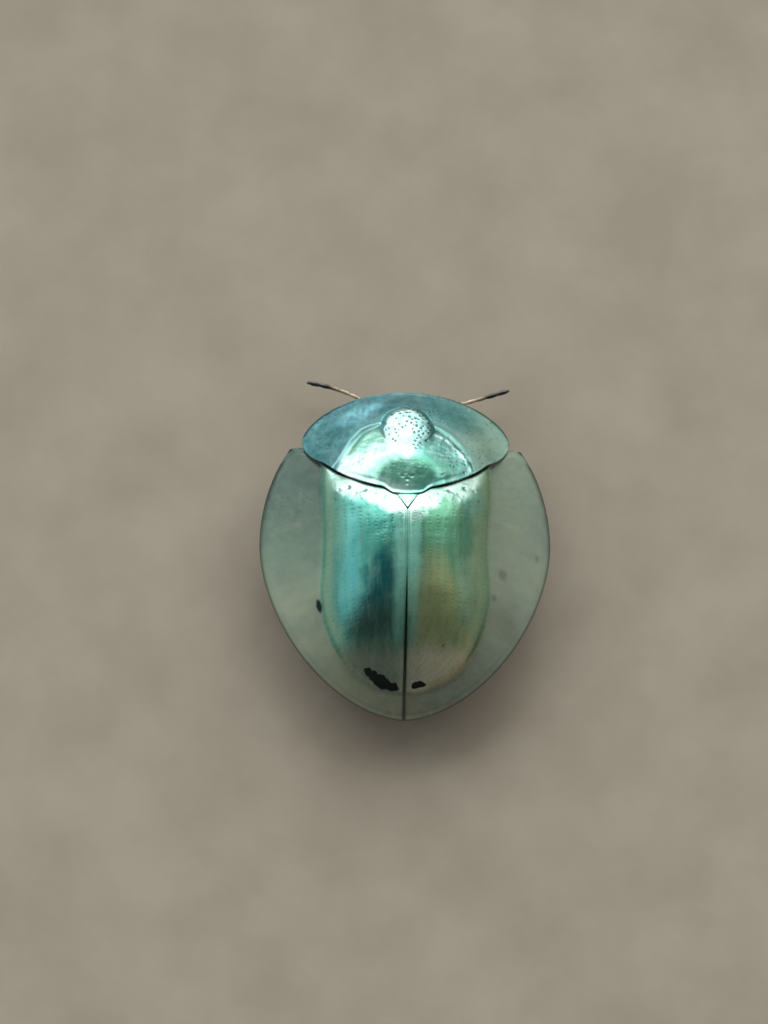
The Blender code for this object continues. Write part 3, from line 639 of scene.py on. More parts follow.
class Piece:
    """Gathers closed shapes into one mesh."""

    def __init__(self):
        self.verts, self.faces, self.values, self.count = [], [], {}, 0

    def add(self, verts, faces, **values):
        self.verts.append(np.asarray(verts, float))
        for f in faces:
            self.faces.append(np.asarray(f) + self.count)
        for key in set(self.values) | set(values):
            held = self.values.setdefault(key, [np.zeros(self.count)] if self.count else [])
            held.append(np.broadcast_to(np.asarray(values.get(key, 0.0), float), len(verts)).copy())
        self.count += len(verts)

    def finish(self, name, nodes, sharp=50):
        obj = make(name, np.concatenate(self.verts), self.faces, {k: np.concatenate(v) for k, v in self.values.items()}, sharp)
        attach(obj, "root")
        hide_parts(*nodes)
        return obj


def mirrored(points, side):
    return np.asarray(points, float) * (1 if side == "right" else -1, 1, 1)


# ---- materials ------------------------------------------------------------------------------
def rgb(r, g, b):
    """Linear colour from 0-255 display values."""
    out = []
    for c in (r, g, b):
        c /= 255
        out.append(c / 12.92 if c <= 0.04045 else ((c + 0.055) / 1.055) ** 2.4)
    return (*out, 1.0)


class Look:
    """A material and short ways to add its nodes."""

    def __init__(self, name, **constants):
        self.material = bpy.data.materials.new(name)
        self.material.use_nodes = True
        self.tree = self.material.node_tree
        self.tree.nodes.clear()
        out = self.add("ShaderNodeOutputMaterial")
        self.shader = self.add("ShaderNodeBsdfPrincipled")
        self.tree.links.new(self.shader.outputs[0], out.inputs[0])
        for key, value in constants.items():
            self.shader.inputs[key.replace("_", " ")].default_value = value
        self.here = self.add("ShaderNodeTexCoord").outputs["Object"]

    def add(self, kind, **settings):
        node = self.tree.nodes.new(kind)
        for key, value in settings.items():
            setattr(node, key, value)
        return node

    def put(self, socket, value):
        if isinstance(value, bpy.types.NodeSocket):
            self.tree.links.new(value, socket)
        else:
            socket.default_value = value

    def mask(self, name):
        return self.add("ShaderNodeAttribute", attribute_type="GEOMETRY", attribute_name=name).outputs["Fac"]

    def math(self, operation, a, b=0.5, clamp=False):
        node = self.add("ShaderNodeMath", operation=operation, use_clamp=clamp)
        self.put(node.inputs[0], a)
        self.put(node.inputs[1], b)
        return node.outputs[0]

    def mix(self, factor, a, b, blend="MIX"):
        node = self.add("ShaderNodeMix", data_type="RGBA", blend_type=blend)
        self.put(node.inputs[0], factor)
        self.put(node.inputs[6], a)
        self.put(node.inputs[7], b)
        return node.outputs[2]

    def lerp(self, factor, a, b):
        node = self.add("ShaderNodeMix", data_type="FLOAT")
        self.put(node.inputs[0], factor)
        self.put(node.inputs[2], a)
        self.put(node.inputs[3], b)
        return node.outputs[0]

    def span(self, value, a, b, c=0.0, d=1.0):
        node = self.add("ShaderNodeMapRange")
        self.put(node.inputs[0], value)
        for k, v in zip((1, 2, 3, 4), (a, b, c, d)):
            node.inputs[k].default_value = v
        return node.outputs[0]

    def noise(self, per_mm, detail=3.0, roughness=0.55, stretch=(1, 1, 1)):
        scale = self.add("ShaderNodeMapping")
        self.put(scale.inputs[0], self.here)
        scale.inputs["Scale"].default_value = [1000 * s for s in stretch]
        node = self.add("ShaderNodeTexNoise")
        self.put(node.inputs["Vector"], scale.outputs[0])
        node.inputs["Scale"].default_value = per_mm
        node.inputs["Detail"].default_value = detail
        node.inputs["Roughness"].default_value = roughness
        return node.outputs[0]

    def cells(self, per_mm, feature="F1"):
        scale = self.add("ShaderNodeMapping")
        self.put(scale.inputs[0], self.here)
        scale.inputs["Scale"].default_value = (1000, 1000, 1000)
        node = self.add("ShaderNodeTexVoronoi", feature=feature)
        self.put(node.inputs["Vector"], scale.outputs[0])
        node.inputs["Scale"].default_value = per_mm
        return node.outputs["Distance"]

    def bump(self, height, millimetres, strength=1.0):
        node = self.add("ShaderNodeBump")
        node.inputs["Strength"].default_value = strength
        node.inputs["Distance"].default_value = millimetres * MM
        self.put(node.inputs["Height"], height)
        self.put(self.shader.inputs["Normal"], node.outputs[0])

    def set(self, name, value):
        self.put(self.shader.inputs[name], value)

    def on(self, *objects):
        for obj in objects:
            obj.data.materials.clear()
            obj.data.materials.append(self.material)


MARGIN_LEFT, MARGIN_RIGHT = rgb(122, 140, 120), rgb(138, 144, 124)
RIM_BROWN, BLACK = rgb(44, 36, 26), rgb(4, 4, 3)


def wing_case_look():
    look = Look("wing case shell", Coat_Roughness=0.12, IOR=1.5, Specular_IOR_Level=0.35)
    x, y = look.mask("plan_x"), look.mask("plan_y")
    fine, broad = look.noise(5.0, 4.0), look.noise(0.9, 3.0)
    side = look.span(x, -2.6, 2.6)
    margin = look.mix(side, MARGIN_LEFT, MARGIN_RIGHT)
    # darker teal towards the front on the left: painted shade
    margin = look.mix(look.span(y, 4.3, 6.5, 0.0, 0.94), margin, look.mix(side, rgb(10, 62, 52), rgb(104, 118, 96)))
    low_left = look.math("MULTIPLY", look.span(x, -0.6, -1.8, 0.0, 0.6), look.math("MULTIPLY", look.span(y, 4.4, 3.0), look.span(y, 0.8, 2.0)))
    margin = look.mix(low_left, margin, rgb(170, 168, 142))
    # browner towards the rear, where the floor shows through, and darkest at the rear right: painted shadow
    margin = look.mix(look.span(y, 2.6, 0.4, 0.0, 0.85), margin, look.mix(side, rgb(126, 116, 88), rgb(58, 52, 36)))
    margin = look.mix(look.math("MULTIPLY", look.span(broad, 0.42, 0.62), 0.35), margin, rgb(90, 108, 100))
    margin = look.mix(look.math("MULTIPLY", look.span(fine, 0.35, 0.7), 0.18), margin, rgb(150, 160, 142))
    # darker patches on the right margin: painted shade
    margin = look.mix(look.math("MULTIPLY", look.mask("smudge"), 1.0, True), margin, rgb(78, 72, 58))

    # teal on the left and green on the right, and the tints below: partly the disc's own iridescent colour and partly
    # painted reflections; pale and edge are painted highlights
    disc = look.mix(side, rgb(84, 160, 148), rgb(98, 142, 112))
    for name, amount, colour in (
        ("olive", 0.75, rgb(148, 174, 142)), ("teal", 0.80, rgb(50, 132, 120)),
        ("green", 0.75, rgb(80, 140, 108)), ("gold", 0.85, rgb(170, 168, 108)), ("cyan", 0.90, rgb(88, 168, 164)),
        ("navy", 0.92, rgb(4, 92, 94)), ("dark", 0.62, rgb(70, 86, 68)), ("pale", 0.75, rgb(160, 232, 208)),
        ("edge", 0.75, rgb(160, 200, 174)),
    ):
        disc = look.mix(look.math("MULTIPLY", look.mask(name), amount, True), disc, colour)
    # greyer at the rear, beige on the right: painted reflection
    grey = look.mix(look.span(x, -0.3, 0.5), rgb(142, 146, 126), rgb(222, 208, 178))
    disc = look.mix(look.math("MULTIPLY", look.mask("grey"), 0.85), disc, grey)
    streak = look.noise(2.2, 4.0, 0.6, (2.4, 0.45, 1))
    disc = look.mix(look.math("MULTIPLY", look.span(streak, 0.48, 0.72), 0.20), disc, rgb(160, 188, 156))
    disc = look.mix(look.math("MULTIPLY", look.span(streak, 0.50, 0.28), 0.16), disc, rgb(46, 66, 54))
    # paler across the base of the wing cases: painted highlight
    painted_sheen = look.mix(look.span(look.noise(2.6, 4.0, 0.6), 0.62, 0.40), rgb(200, 222, 212), rgb(158, 194, 180))
    disc = look.mix(look.math("MULTIPLY", look.mask("base"), 0.88), disc, painted_sheen)
    disc = look.mix(look.math("MULTIPLY", look.mask("arc"), 0.55), disc, rgb(88, 98, 62))
    # darker in the pits and fissures: painted shade
    disc = look.mix(look.math("MULTIPLY", look.mask("pit"), 0.26, True), disc, rgb(46, 54, 40))
    disc = look.mix(look.math("MULTIPLY", look.mask("fissure"), 0.80, True), disc, rgb(34, 56, 46))

    on_disc = look.mask("disc")
    colour = look.mix(on_disc, margin, disc)
    colour = look.mix(look.math("MULTIPLY", look.mask("line"), 0.95, True), colour, RIM_BROWN)
    # dark along the suture and the front edge: painted shade of the gaps between the parts
    colour = look.mix(look.math("MULTIPLY", look.mask("seam"), 0.97, True), colour, rgb(9, 19, 15))
    black = look.mask("black")
    colour = look.mix(black, colour, BLACK)
    look.set("Base Color", colour)
    plain = look.math("SUBTRACT", 1.0, black, True)
    look.set("Metallic", look.math("MULTIPLY", look.math("MULTIPLY", on_disc, 0.72), plain))
    rough = look.math("ADD", look.lerp(on_disc, 0.42, 0.26), look.math("MULTIPLY", fine, 0.08))
    matt = look.math("MAXIMUM", black, look.math("MULTIPLY", look.mask("seam"), 0.8), True)
    look.set("Roughness", look.lerp(matt, rough, 0.85))
    look.set("Coat Weight", look.lerp(matt, look.lerp(on_disc, 0.12, 0.35), 0.0))
    solid = look.math("MAXIMUM", look.math("MAXIMUM", on_disc, black), look.math("MAXIMUM", look.mask("line"), look.mask("seam")), True)
    solid = look.math("MAXIMUM", solid, look.math("MULTIPLY", look.mask("smudge"), 0.8), True)
    look.set("Alpha", look.lerp(solid, 0.72, 1.0))
    look.bump(look.noise(16.0, 3.0), 0.006, 0.35)
    return look


def pronotum_look():
    look = Look("pronotum shell", Coat_Weight=0.10, Coat_Roughness=0.12, IOR=1.5, Specular_IOR_Level=0.30)
    x, y = look.mask("plan_x"), look.mask("plan_y")
    fine, broad, patchy = look.noise(5.0, 4.0), look.noise(1.0, 3.0), look.noise(2.1, 4.0, 0.6)
    side = look.span(x, -1.2, 2.4)
    # teal and blue on the left and front, and a darker teal patch on the right: partly the margin's own colour and
    # partly painted reflections
    margin = look.mix(side, rgb(14, 86, 88), rgb(112, 138, 120))
    front = look.mix(look.span(x, 0.9, 2.2), rgb(20, 74, 82), rgb(90, 130, 116))
    margin = look.mix(look.math("MULTIPLY", look.mask("front"), 0.85), margin, front)
    margin = look.mix(look.math("MULTIPLY", look.span(broad, 0.40, 0.58), 0.50), margin, look.mix(side, rgb(24, 66, 72), rgb(96, 118, 106)))
    margin = look.mix(look.math("MULTIPLY", look.span(patchy, 0.50, 0.70), look.span(x, 1.6, 0.2, 0.0, 0.35)), margin, rgb(76, 134, 134))
    margin = look.mix(look.math("MULTIPLY", look.mask("glint"), 0.72), margin, rgb(136, 200, 212))
    margin = look.mix(look.math("MULTIPLY", look.mask("teal_patch"), 0.85), margin, rgb(24, 92, 90))
    margin = look.mix(look.math("MULTIPLY", look.span(fine, 0.40, 0.7), 0.14), margin, rgb(150, 182, 176))
    # lighter on the left side of the disc: painted highlight
    disc = look.mix(look.mask("left"), rgb(94, 148, 140), rgb(170, 198, 188))
    streak = look.noise(3.4, 5.0, 0.62, (1.5, 0.8, 1))
    right = look.span(x, 0.2, 0.8)
    # lighter and darker streaks on the right side of the disc: painted highlights and painted shade
    disc = look.mix(look.math("MULTIPLY", look.span(streak, 0.52, 0.64), look.math("MULTIPLY", right, 0.60)), disc, rgb(158, 202, 192))
    disc = look.mix(look.math("MULTIPLY", look.span(streak, 0.48, 0.36), look.math("MULTIPLY", right, 0.55)), disc, rgb(50, 98, 92))
    # pale flecks along the inner ridge: painted glints
    disc = look.mix(look.math("MULTIPLY", look.span(streak, 0.42, 0.54), look.math("MULTIPLY", look.mask("fleck"), 0.85)), disc, rgb(204, 240, 232))
    disc = look.mix(look.math("MULTIPLY", look.span(patchy, 0.49, 0.38), 0.55), disc, rgb(100, 140, 130))
    disc = look.mix(look.math("MULTIPLY", look.mask("shade"), 0.70), disc, rgb(122, 186, 164))
    # darker over the flat middle behind the boss: painted shade
    disc = look.mix(look.math("MULTIPLY", look.mask("band"), 0.92), disc, rgb(72, 126, 106))
    disc = look.mix(look.math("MULTIPLY", look.span(fine, 0.5, 0.72), 0.22), disc, rgb(190, 220, 206))
    # paler over the boss: painted highlight; darker on its right third: painted shade
    boss = look.mix(look.span(patchy, 0.60, 0.42), rgb(150, 172, 170), rgb(112, 138, 134))
    boss = look.mix(look.span(x, 0.15, 0.58, 0.0, 0.85), boss, rgb(70, 112, 108))
    disc = look.mix(look.mask("boss"), disc, boss)
    # darker round the boss, darkest on the right: painted shade
    disc = look.mix(look.math("MULTIPLY", look.mask("ring"), 0.90), disc, look.mix(look.span(x, -0.5, 0.4), rgb(62, 148, 154), rgb(26, 84, 84)))
    on_disc = look.mask("disc")
    colour = look.mix(on_disc, margin, disc)
    # paler along the ridges, more on the left: painted highlight; darker in the groove inside them: painted shade
    colour = look.mix(look.math("MULTIPLY", look.mask("ridge"), 0.70), colour, look.mix(look.span(x, 0.2, 0.9), rgb(142, 186, 186), rgb(104, 148, 142)))
    colour = look.mix(look.math("MULTIPLY", look.mask("inside"), 0.60), colour, rgb(54, 100, 92))
    # darker in the pits: painted shade
    colour = look.mix(look.math("MULTIPLY", look.mask("pit"), 0.95, True), colour, rgb(14, 26, 23))
    rim = look.mix(look.span(x, -0.8, 1.6), rgb(58, 92, 94), rgb(40, 40, 30))
    colour = look.mix(look.math("MULTIPLY", look.mask("line"), 0.85, True), colour, rim)
    # a dark line at the rear edge: painted shade of the gap to the wing cases
    colour = look.mix(look.math("MULTIPLY", look.mask("rear"), 0.90, True), colour, rgb(20, 36, 32))
    look.set("Base Color", colour)
    look.set("Metallic", look.lerp(on_disc, look.span(x, 0.6, 2.4, 0.40, 0.20), 0.70))
    look.set("Roughness", look.math("ADD", look.lerp(on_disc, 0.36, 0.20), look.math("MULTIPLY", fine, 0.08)))
    solid = look.math("MAXIMUM", on_disc, look.math("MAXIMUM", look.mask("line"), look.mask("rear")), True)
    look.set("Alpha", look.lerp(solid, look.span(x, -1.5, 2.4, 0.88, 0.76), 1.0))
    look.bump(look.noise(16.0, 3.0), 0.006, 0.35)
    return look


# ---- camera, light and floor ----------------------------------------------------------------
PANELS = (  # azimuth, half width, nearest and furthest from straight up, softness, all in degrees; colour; strength
    (-24, 37, 38, 96, 9, (0.90, 0.99, 1.0), 4.0),
    (30, 30, 42, 74, 10, (0.90, 1.0, 0.98), 3.4),
    (30, 30, 76, 96, 8, (0.90, 1.0, 0.98), 2.2),
    (-90, 24, 45, 96, 16, (0.72, 0.95, 1.0), 0.74),
    (80, 24, 34, 80, 16, (1.0, 0.96, 0.86), 0.40),
)
FILL_REAR, FILL_FRONT = 0.15, 0.30


def camera():
    """Looks down from 77 degrees over the horizon, behind the beetle and slightly to its left."""
    elevation, lean, roll = math.radians(76.90), math.radians(1.57), math.radians(0.36)
    distance = 100.0
    back = np.array([-math.sin(lean), -math.cos(elevation), 0.0])
    back[2] = math.sqrt(1 - back @ back)
    up = np.array([0.0, 1.0, 0.0]) - back * back[1]
    up /= np.linalg.norm(up)
    right = np.cross(up, back)
    c, s = math.cos(roll), math.sin(roll)
    right, up = c * right + s * up, -s * right + c * up
    aim = np.array([0.0, 4.9 - Y_ORIGIN, 1.5])
    data = bpy.data.cameras.new("camera")
    obj = bpy.data.objects.new("camera", data)
    bpy.context.scene.collection.objects.link(obj)
    m = np.eye(4)
    m[:3, 0], m[:3, 1], m[:3, 2], m[:3, 3] = right, up, back, (aim + back * distance) * MM
    obj.matrix_world = Matrix(m.tolist())
    data.sensor_fit, data.sensor_height, data.sensor_width = "AUTO", 24, 36
    data.lens = 36.0 * 36.082 * distance / 1024
    data.shift_x, data.shift_y = -(405.1 - 384) / 1024, (545.4 - 512) / 1024
    data.clip_start, data.clip_end = 0.002, 10.0
    bpy.context.scene.camera = obj


def studio():
    """Soft light from all round, as from large diffusing panels: a broad one low in front, others left and right."""
    world = bpy.data.worlds.new("studio")
    world.use_nodes = True
    tree = world.node_tree
    tree.nodes.clear()

    def add(kind, **settings):
        node = tree.nodes.new(kind)
        for key, value in settings.items():
            setattr(node, key, value)
        return node

    def put(socket, value):
        if isinstance(value, bpy.types.NodeSocket):
            tree.links.new(value, socket)
        else:
            socket.default_value = value

    def math_node(operation, a, b=0.0, clamp=False):
        node = add("ShaderNodeMath", operation=operation, use_clamp=clamp)
        put(node.inputs[0], a)
        put(node.inputs[1], b)
        return node.outputs[0]

    def ease(value, a, b):
        node = add("ShaderNodeMapRange", interpolation_type="SMOOTHSTEP")
        put(node.inputs[0], value)
        node.inputs[1].default_value, node.inputs[2].default_value = a, b
        return node.outputs[0]

    split = add("ShaderNodeSeparateXYZ")
    tree.links.new(add("ShaderNodeTexCoord").outputs["Generated"], split.inputs[0])
    x, y, z = split.outputs
    level = math_node("SQRT", math_node("MAXIMUM", math_node("SUBTRACT", 1.0, math_node("MULTIPLY", z, z)), 1e-6))

    def panel(azimuth, half, steep, shallow, soft, colour, strength):
        """azimuth is clockwise from the front, seen from above; steep and shallow are degrees from straight up."""
        a = math.radians(azimuth)
        facing = math_node("DIVIDE", math_node("ADD", math_node("MULTIPLY", x, math.sin(a)), math_node("MULTIPLY", y, math.cos(a))), level)
        across = ease(facing, math.cos(math.radians(half + soft)), math.cos(math.radians(max(half - soft, 0))))
        above = ease(z, math.cos(math.radians(shallow + soft / 2)), math.cos(math.radians(shallow - soft / 2)))
        below = ease(z, math.cos(math.radians(steep - soft / 2)), math.cos(math.radians(steep + soft / 2)))
        shine = math_node("MULTIPLY", math_node("MULTIPLY", across, above), math_node("MULTIPLY", below, strength))
        node = add("ShaderNodeVectorMath", operation="SCALE")
        node.inputs[0].default_value = colour
        put(node.inputs["Scale"], shine)
        return node.outputs[0]

    total = None
    for args in PANELS:
        glow = panel(*args)
        if total is None:
            total = glow
        else:
            node = add("ShaderNodeVectorMath", operation="ADD")
            put(node.inputs[0], total)
            put(node.inputs[1], glow)
            total = node.outputs[0]
    node = add("ShaderNodeVectorMath", operation="ADD")
    put(node.inputs[0], total)
    fill = add("ShaderNodeVectorMath", operation="SCALE")
    fill.inputs[0].default_value = (0.88, 0.98, 1.0)
    node_range = add("ShaderNodeMapRange")
    put(node_range.inputs[0], y)
    for k, v in zip((1, 2, 3, 4), (-0.9, 0.5, FILL_REAR, FILL_FRONT)):
        node_range.inputs[k].default_value = v
    put(fill.inputs["Scale"], node_range.outputs[0])
    put(node.inputs[1], fill.outputs[0])
    lit = add("ShaderNodeBackground")
    put(lit.inputs[0], node.outputs[0])
    plain = add("ShaderNodeBackground")
    plain.inputs[0].default_value = (0.34, 0.32, 0.29, 1)
    blend = add("ShaderNodeMixShader")
    tree.links.new(add("ShaderNodeLightPath").outputs["Is Camera Ray"], blend.inputs[0])
    tree.links.new(lit.outputs[0], blend.inputs[1])
    tree.links.new(plain.outputs[0], blend.inputs[2])
    tree.links.new(blend.outputs[0], add("ShaderNodeOutputWorld").inputs[0])
    bpy.context.scene.world = world
    bpy.context.scene.view_settings.view_transform = "Standard"


def floor():
    half = 300.0
    obj = make("floor", [(-half, -half, 0), (half, -half, 0), (half, half, 0), (-half, half, 0)], [[[0, 1, 2, 3]]])
    look = Look("plain floor", Roughness=0.75)
    look.set("Base Color", look.mix(look.span(look.noise(0.35, 4.0), 0.35, 0.65), rgb(143, 127, 111), rgb(153, 138, 122)))
    look.bump(look.noise(3.0, 3.0), 0.01, 0.2)
    look.on(obj)


# ---- scutellum ------------------------------------------------------------------------------
def scutellum():
    n = 60
    u = np.linspace(-1, 1, n + 1)[:, None] * np.ones(n + 1)
    v = np.ones((n + 1, 1)) * np.linspace(0, 1, n + 1)
    half = np.maximum((SCUT_HALF + 0.01) * (1 - (1 - v)) ** 0.92, 0.004)
    y = SCUT_TIP + 0.02 + (SCUT_BASE - SCUT_TIP - 0.01) * v
    x = u * half
    round_off = 1 - np.abs(u) ** 6
    z = case_surface(x, y) + RIM_Z + 0.030 * round_off - 0.015 - 0.03 * (1 - smooth(0, 0.10, 1 - v))
    z = z - 0.010 * bell(y - 5.60, 0.05) * bell(x, 0.1) + 0.004 * wander(x, y, 51, 0.12, 2)
    top = np.stack([x, y, z], -1)
    bottom = np.stack([x * 0.97, y, z - 0.14], -1)
    obj = thick_shell("scutellum_plate", top, bottom, 6, {"edge": np.abs(u) ** 6, "plan_y": y})
    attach(obj, "root")
    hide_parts("scutellum")
    look = Look("scutellum plate", Coat_Weight=0.6, Coat_Roughness=0.10, IOR=1.54)
    tint = look.mix(look.span(look.noise(7.0, 4.0), 0.35, 0.65), rgb(126, 176, 160), rgb(150, 192, 176))
    look.set("Base Color", look.mix(look.math("MULTIPLY", look.mask("edge"), 0.7), tint, rgb(48, 66, 52)))
    look.set("Metallic", look.span(look.noise(3.0), 0.3, 0.7, 0.6, 0.8))
    look.set("Roughness", look.span(look.noise(9.0, 4.0), 0.3, 0.7, 0.18, 0.32))
    look.bump(look.noise(18.0), 0.005, 0.3)
    look.on(obj)


# ---- feelers --------------------------------------------------------------------------------
FEELERS = {
    "left": ((-0.165, 8.25, 0.98), (-0.26, 8.42, 0.86), (-0.62, 8.90, 0.63), (-1.24, 9.32, 0.58), (-1.95, 9.60, 0.64), (-2.62, 9.74, 0.70), (-2.77, 9.76, 0.71)),
    "right": ((0.165, 8.25, 0.98), (0.26, 8.42, 0.86), (0.66, 8.86, 0.63), (1.34, 9.14, 0.58), (2.10, 9.36, 0.64), (2.80, 9.56, 0.72), (2.93, 9.60, 0.73)),
}
# length share and greatest half width of the eleven joints, from the head outwards
JOINTS = ((0.105, 0.078), (0.060, 0.052), (0.095, 0.043), (0.090, 0.042), (0.085, 0.043), (0.085, 0.044),
          (0.090, 0.050), (0.090, 0.054), (0.090, 0.058), (0.092, 0.066), (0.118, 0.064))


def feeler(side):
    piece = Piece()
    line = spline(FEELERS[side], 400)
    total = sum(length for length, _ in JOINTS)
    at = 0.0
    for k, (length, half) in enumerate(JOINTS):
        a, b = at / total, (at + length) / total
        at += length
        i = np.linspace(a + 0.006, b - 0.002, 15) * 399
        path = np.stack([np.interp(i, np.arange(400), line[:, c]) for c in range(3)], 1)
        t = np.linspace(0, 1, 15)
        if k < 6:
            width = half * (0.72 + 0.28 * np.sin(math.pi * t ** 0.7)) * (0.88 + 0.22 * t)
        elif k < 10:
            width = half * (0.62 + 0.38 * np.sin(math.pi * (0.10 + 0.75 * t)))
        else:
            width = half * (0.66 + 0.34 * np.sin(math.pi * (0.12 + 0.7 * t))) * (1 - 0.45 * smooth(0.55, 1.0, t))
        bump = lambda s, g, k=k: 0.010 * np.sin(7 * g + 40 * s + k) + 0.008 * np.sin(11 * g - 30 * s)
        v, f, ts = sweep(path, width, width * (0.92 if k > 5 else 1.0), 22, bump=bump, caps=5)
        piece.add(v, f, run=a + (b - a) * ts, joint=float(k))
        # a neck that joins this joint to the next
        if k < 10:
            j = np.linspace(b - 0.012, b + 0.012, 4) * 399
            neck = np.stack([np.interp(j, np.arange(400), line[:, c]) for c in range(3)], 1)
            v, f, ts = sweep(neck, 0.026, 0.026, 14, caps=2)
            piece.add(v, f, run=b, joint=float(k))
    # short stiff hairs on the outer joints, as slim cones
    rng = np.random.default_rng(61 if side == "left" else 62)
    for _ in range(150):
        a = rng.uniform(0.10, 0.985) ** 0.8
        i = a * 399
        p = np.array([np.interp(i, np.arange(400), line[:, c]) for c in range(3)])
        q = np.array([np.interp(min(i + 3, 399), np.arange(400), line[:, c]) for c in range(3)])
        q2 = np.array([np.interp(max(i - 3, 0), np.arange(400), line[:, c]) for c in range(3)])
        along = (q - q2) / np.linalg.norm(q - q2)
        g = rng.uniform(0, 2 * math.pi)
        s1 = np.cross(along, (0, 0, 1)); s1 /= np.linalg.norm(s1)
        s2 = np.cross(s1, along)
        radial = math.cos(g) * s1 + math.sin(g) * s2
        half = 0.046 if a > 0.52 else 0.034
        direction = 0.55 * radial + 0.83 * along
        start = p + radial * half
        length = rng.uniform(0.03, 0.06)
        path = np.stack([start + direction * length * t - radial * 0.25 * length * t * t for t in np.linspace(0, 1, 4)])
        v, f, ts = sweep(path, 0.0055 * np.array([1, 0.8, 0.5, 0.2]), 0.0055 * np.array([1, 0.8, 0.5, 0.2]), 5, caps=1)
        piece.add(v, f, run=a, joint=20.0)
    return piece.finish("feeler_" + side, ["antenna_" + side])


def feeler_look():
    look = Look("feeler joints", Coat_Weight=0.3, Coat_Roughness=0.25, IOR=1.5, Specular_IOR_Level=0.5)
    run = look.math("ADD", look.mask("run"), look.math("MULTIPLY", look.math("SUBTRACT", look.noise(6.0), 0.5), 0.06))
    pale = look.mix(look.span(look.noise(9.0, 4.0), 0.35, 0.65), rgb(170, 146, 120), rgb(190, 168, 142))
    colour = look.mix(look.span(run, 0.64, 0.78), pale, rgb(112, 88, 68))
    colour = look.mix(look.span(run, 0.765, 0.80), colour, rgb(13, 11, 10))
    look.set("Base Color", colour)
    look.set("Roughness", look.span(look.noise(14.0, 3.0), 0.3, 0.7, 0.34, 0.52))
    look.bump(look.noise(30.0, 3.0), 0.006, 0.5)
    return look


# ---- legs -----------------------------------------------------------------------------------
LEGS = {  # hip, thigh's end, knee, ankle, then the foot's middle and its heading in degrees, right side
    "front": ((0.62, 6.95, 0.78), (1.72, 7.35, 0.82), (2.00, 7.86, 0.78), (2.24, 8.10), -38.0),
    "middle": ((0.78, 5.55, 0.78), (2.20, 5.72, 0.84), (2.66, 5.62, 0.80), (2.93, 5.62), -97.0),
    "hind": ((0.74, 4.20, 0.78), (1.92, 3.78, 0.84), (2.24, 3.24, 0.80), (2.36, 2.98), -158.0),
}


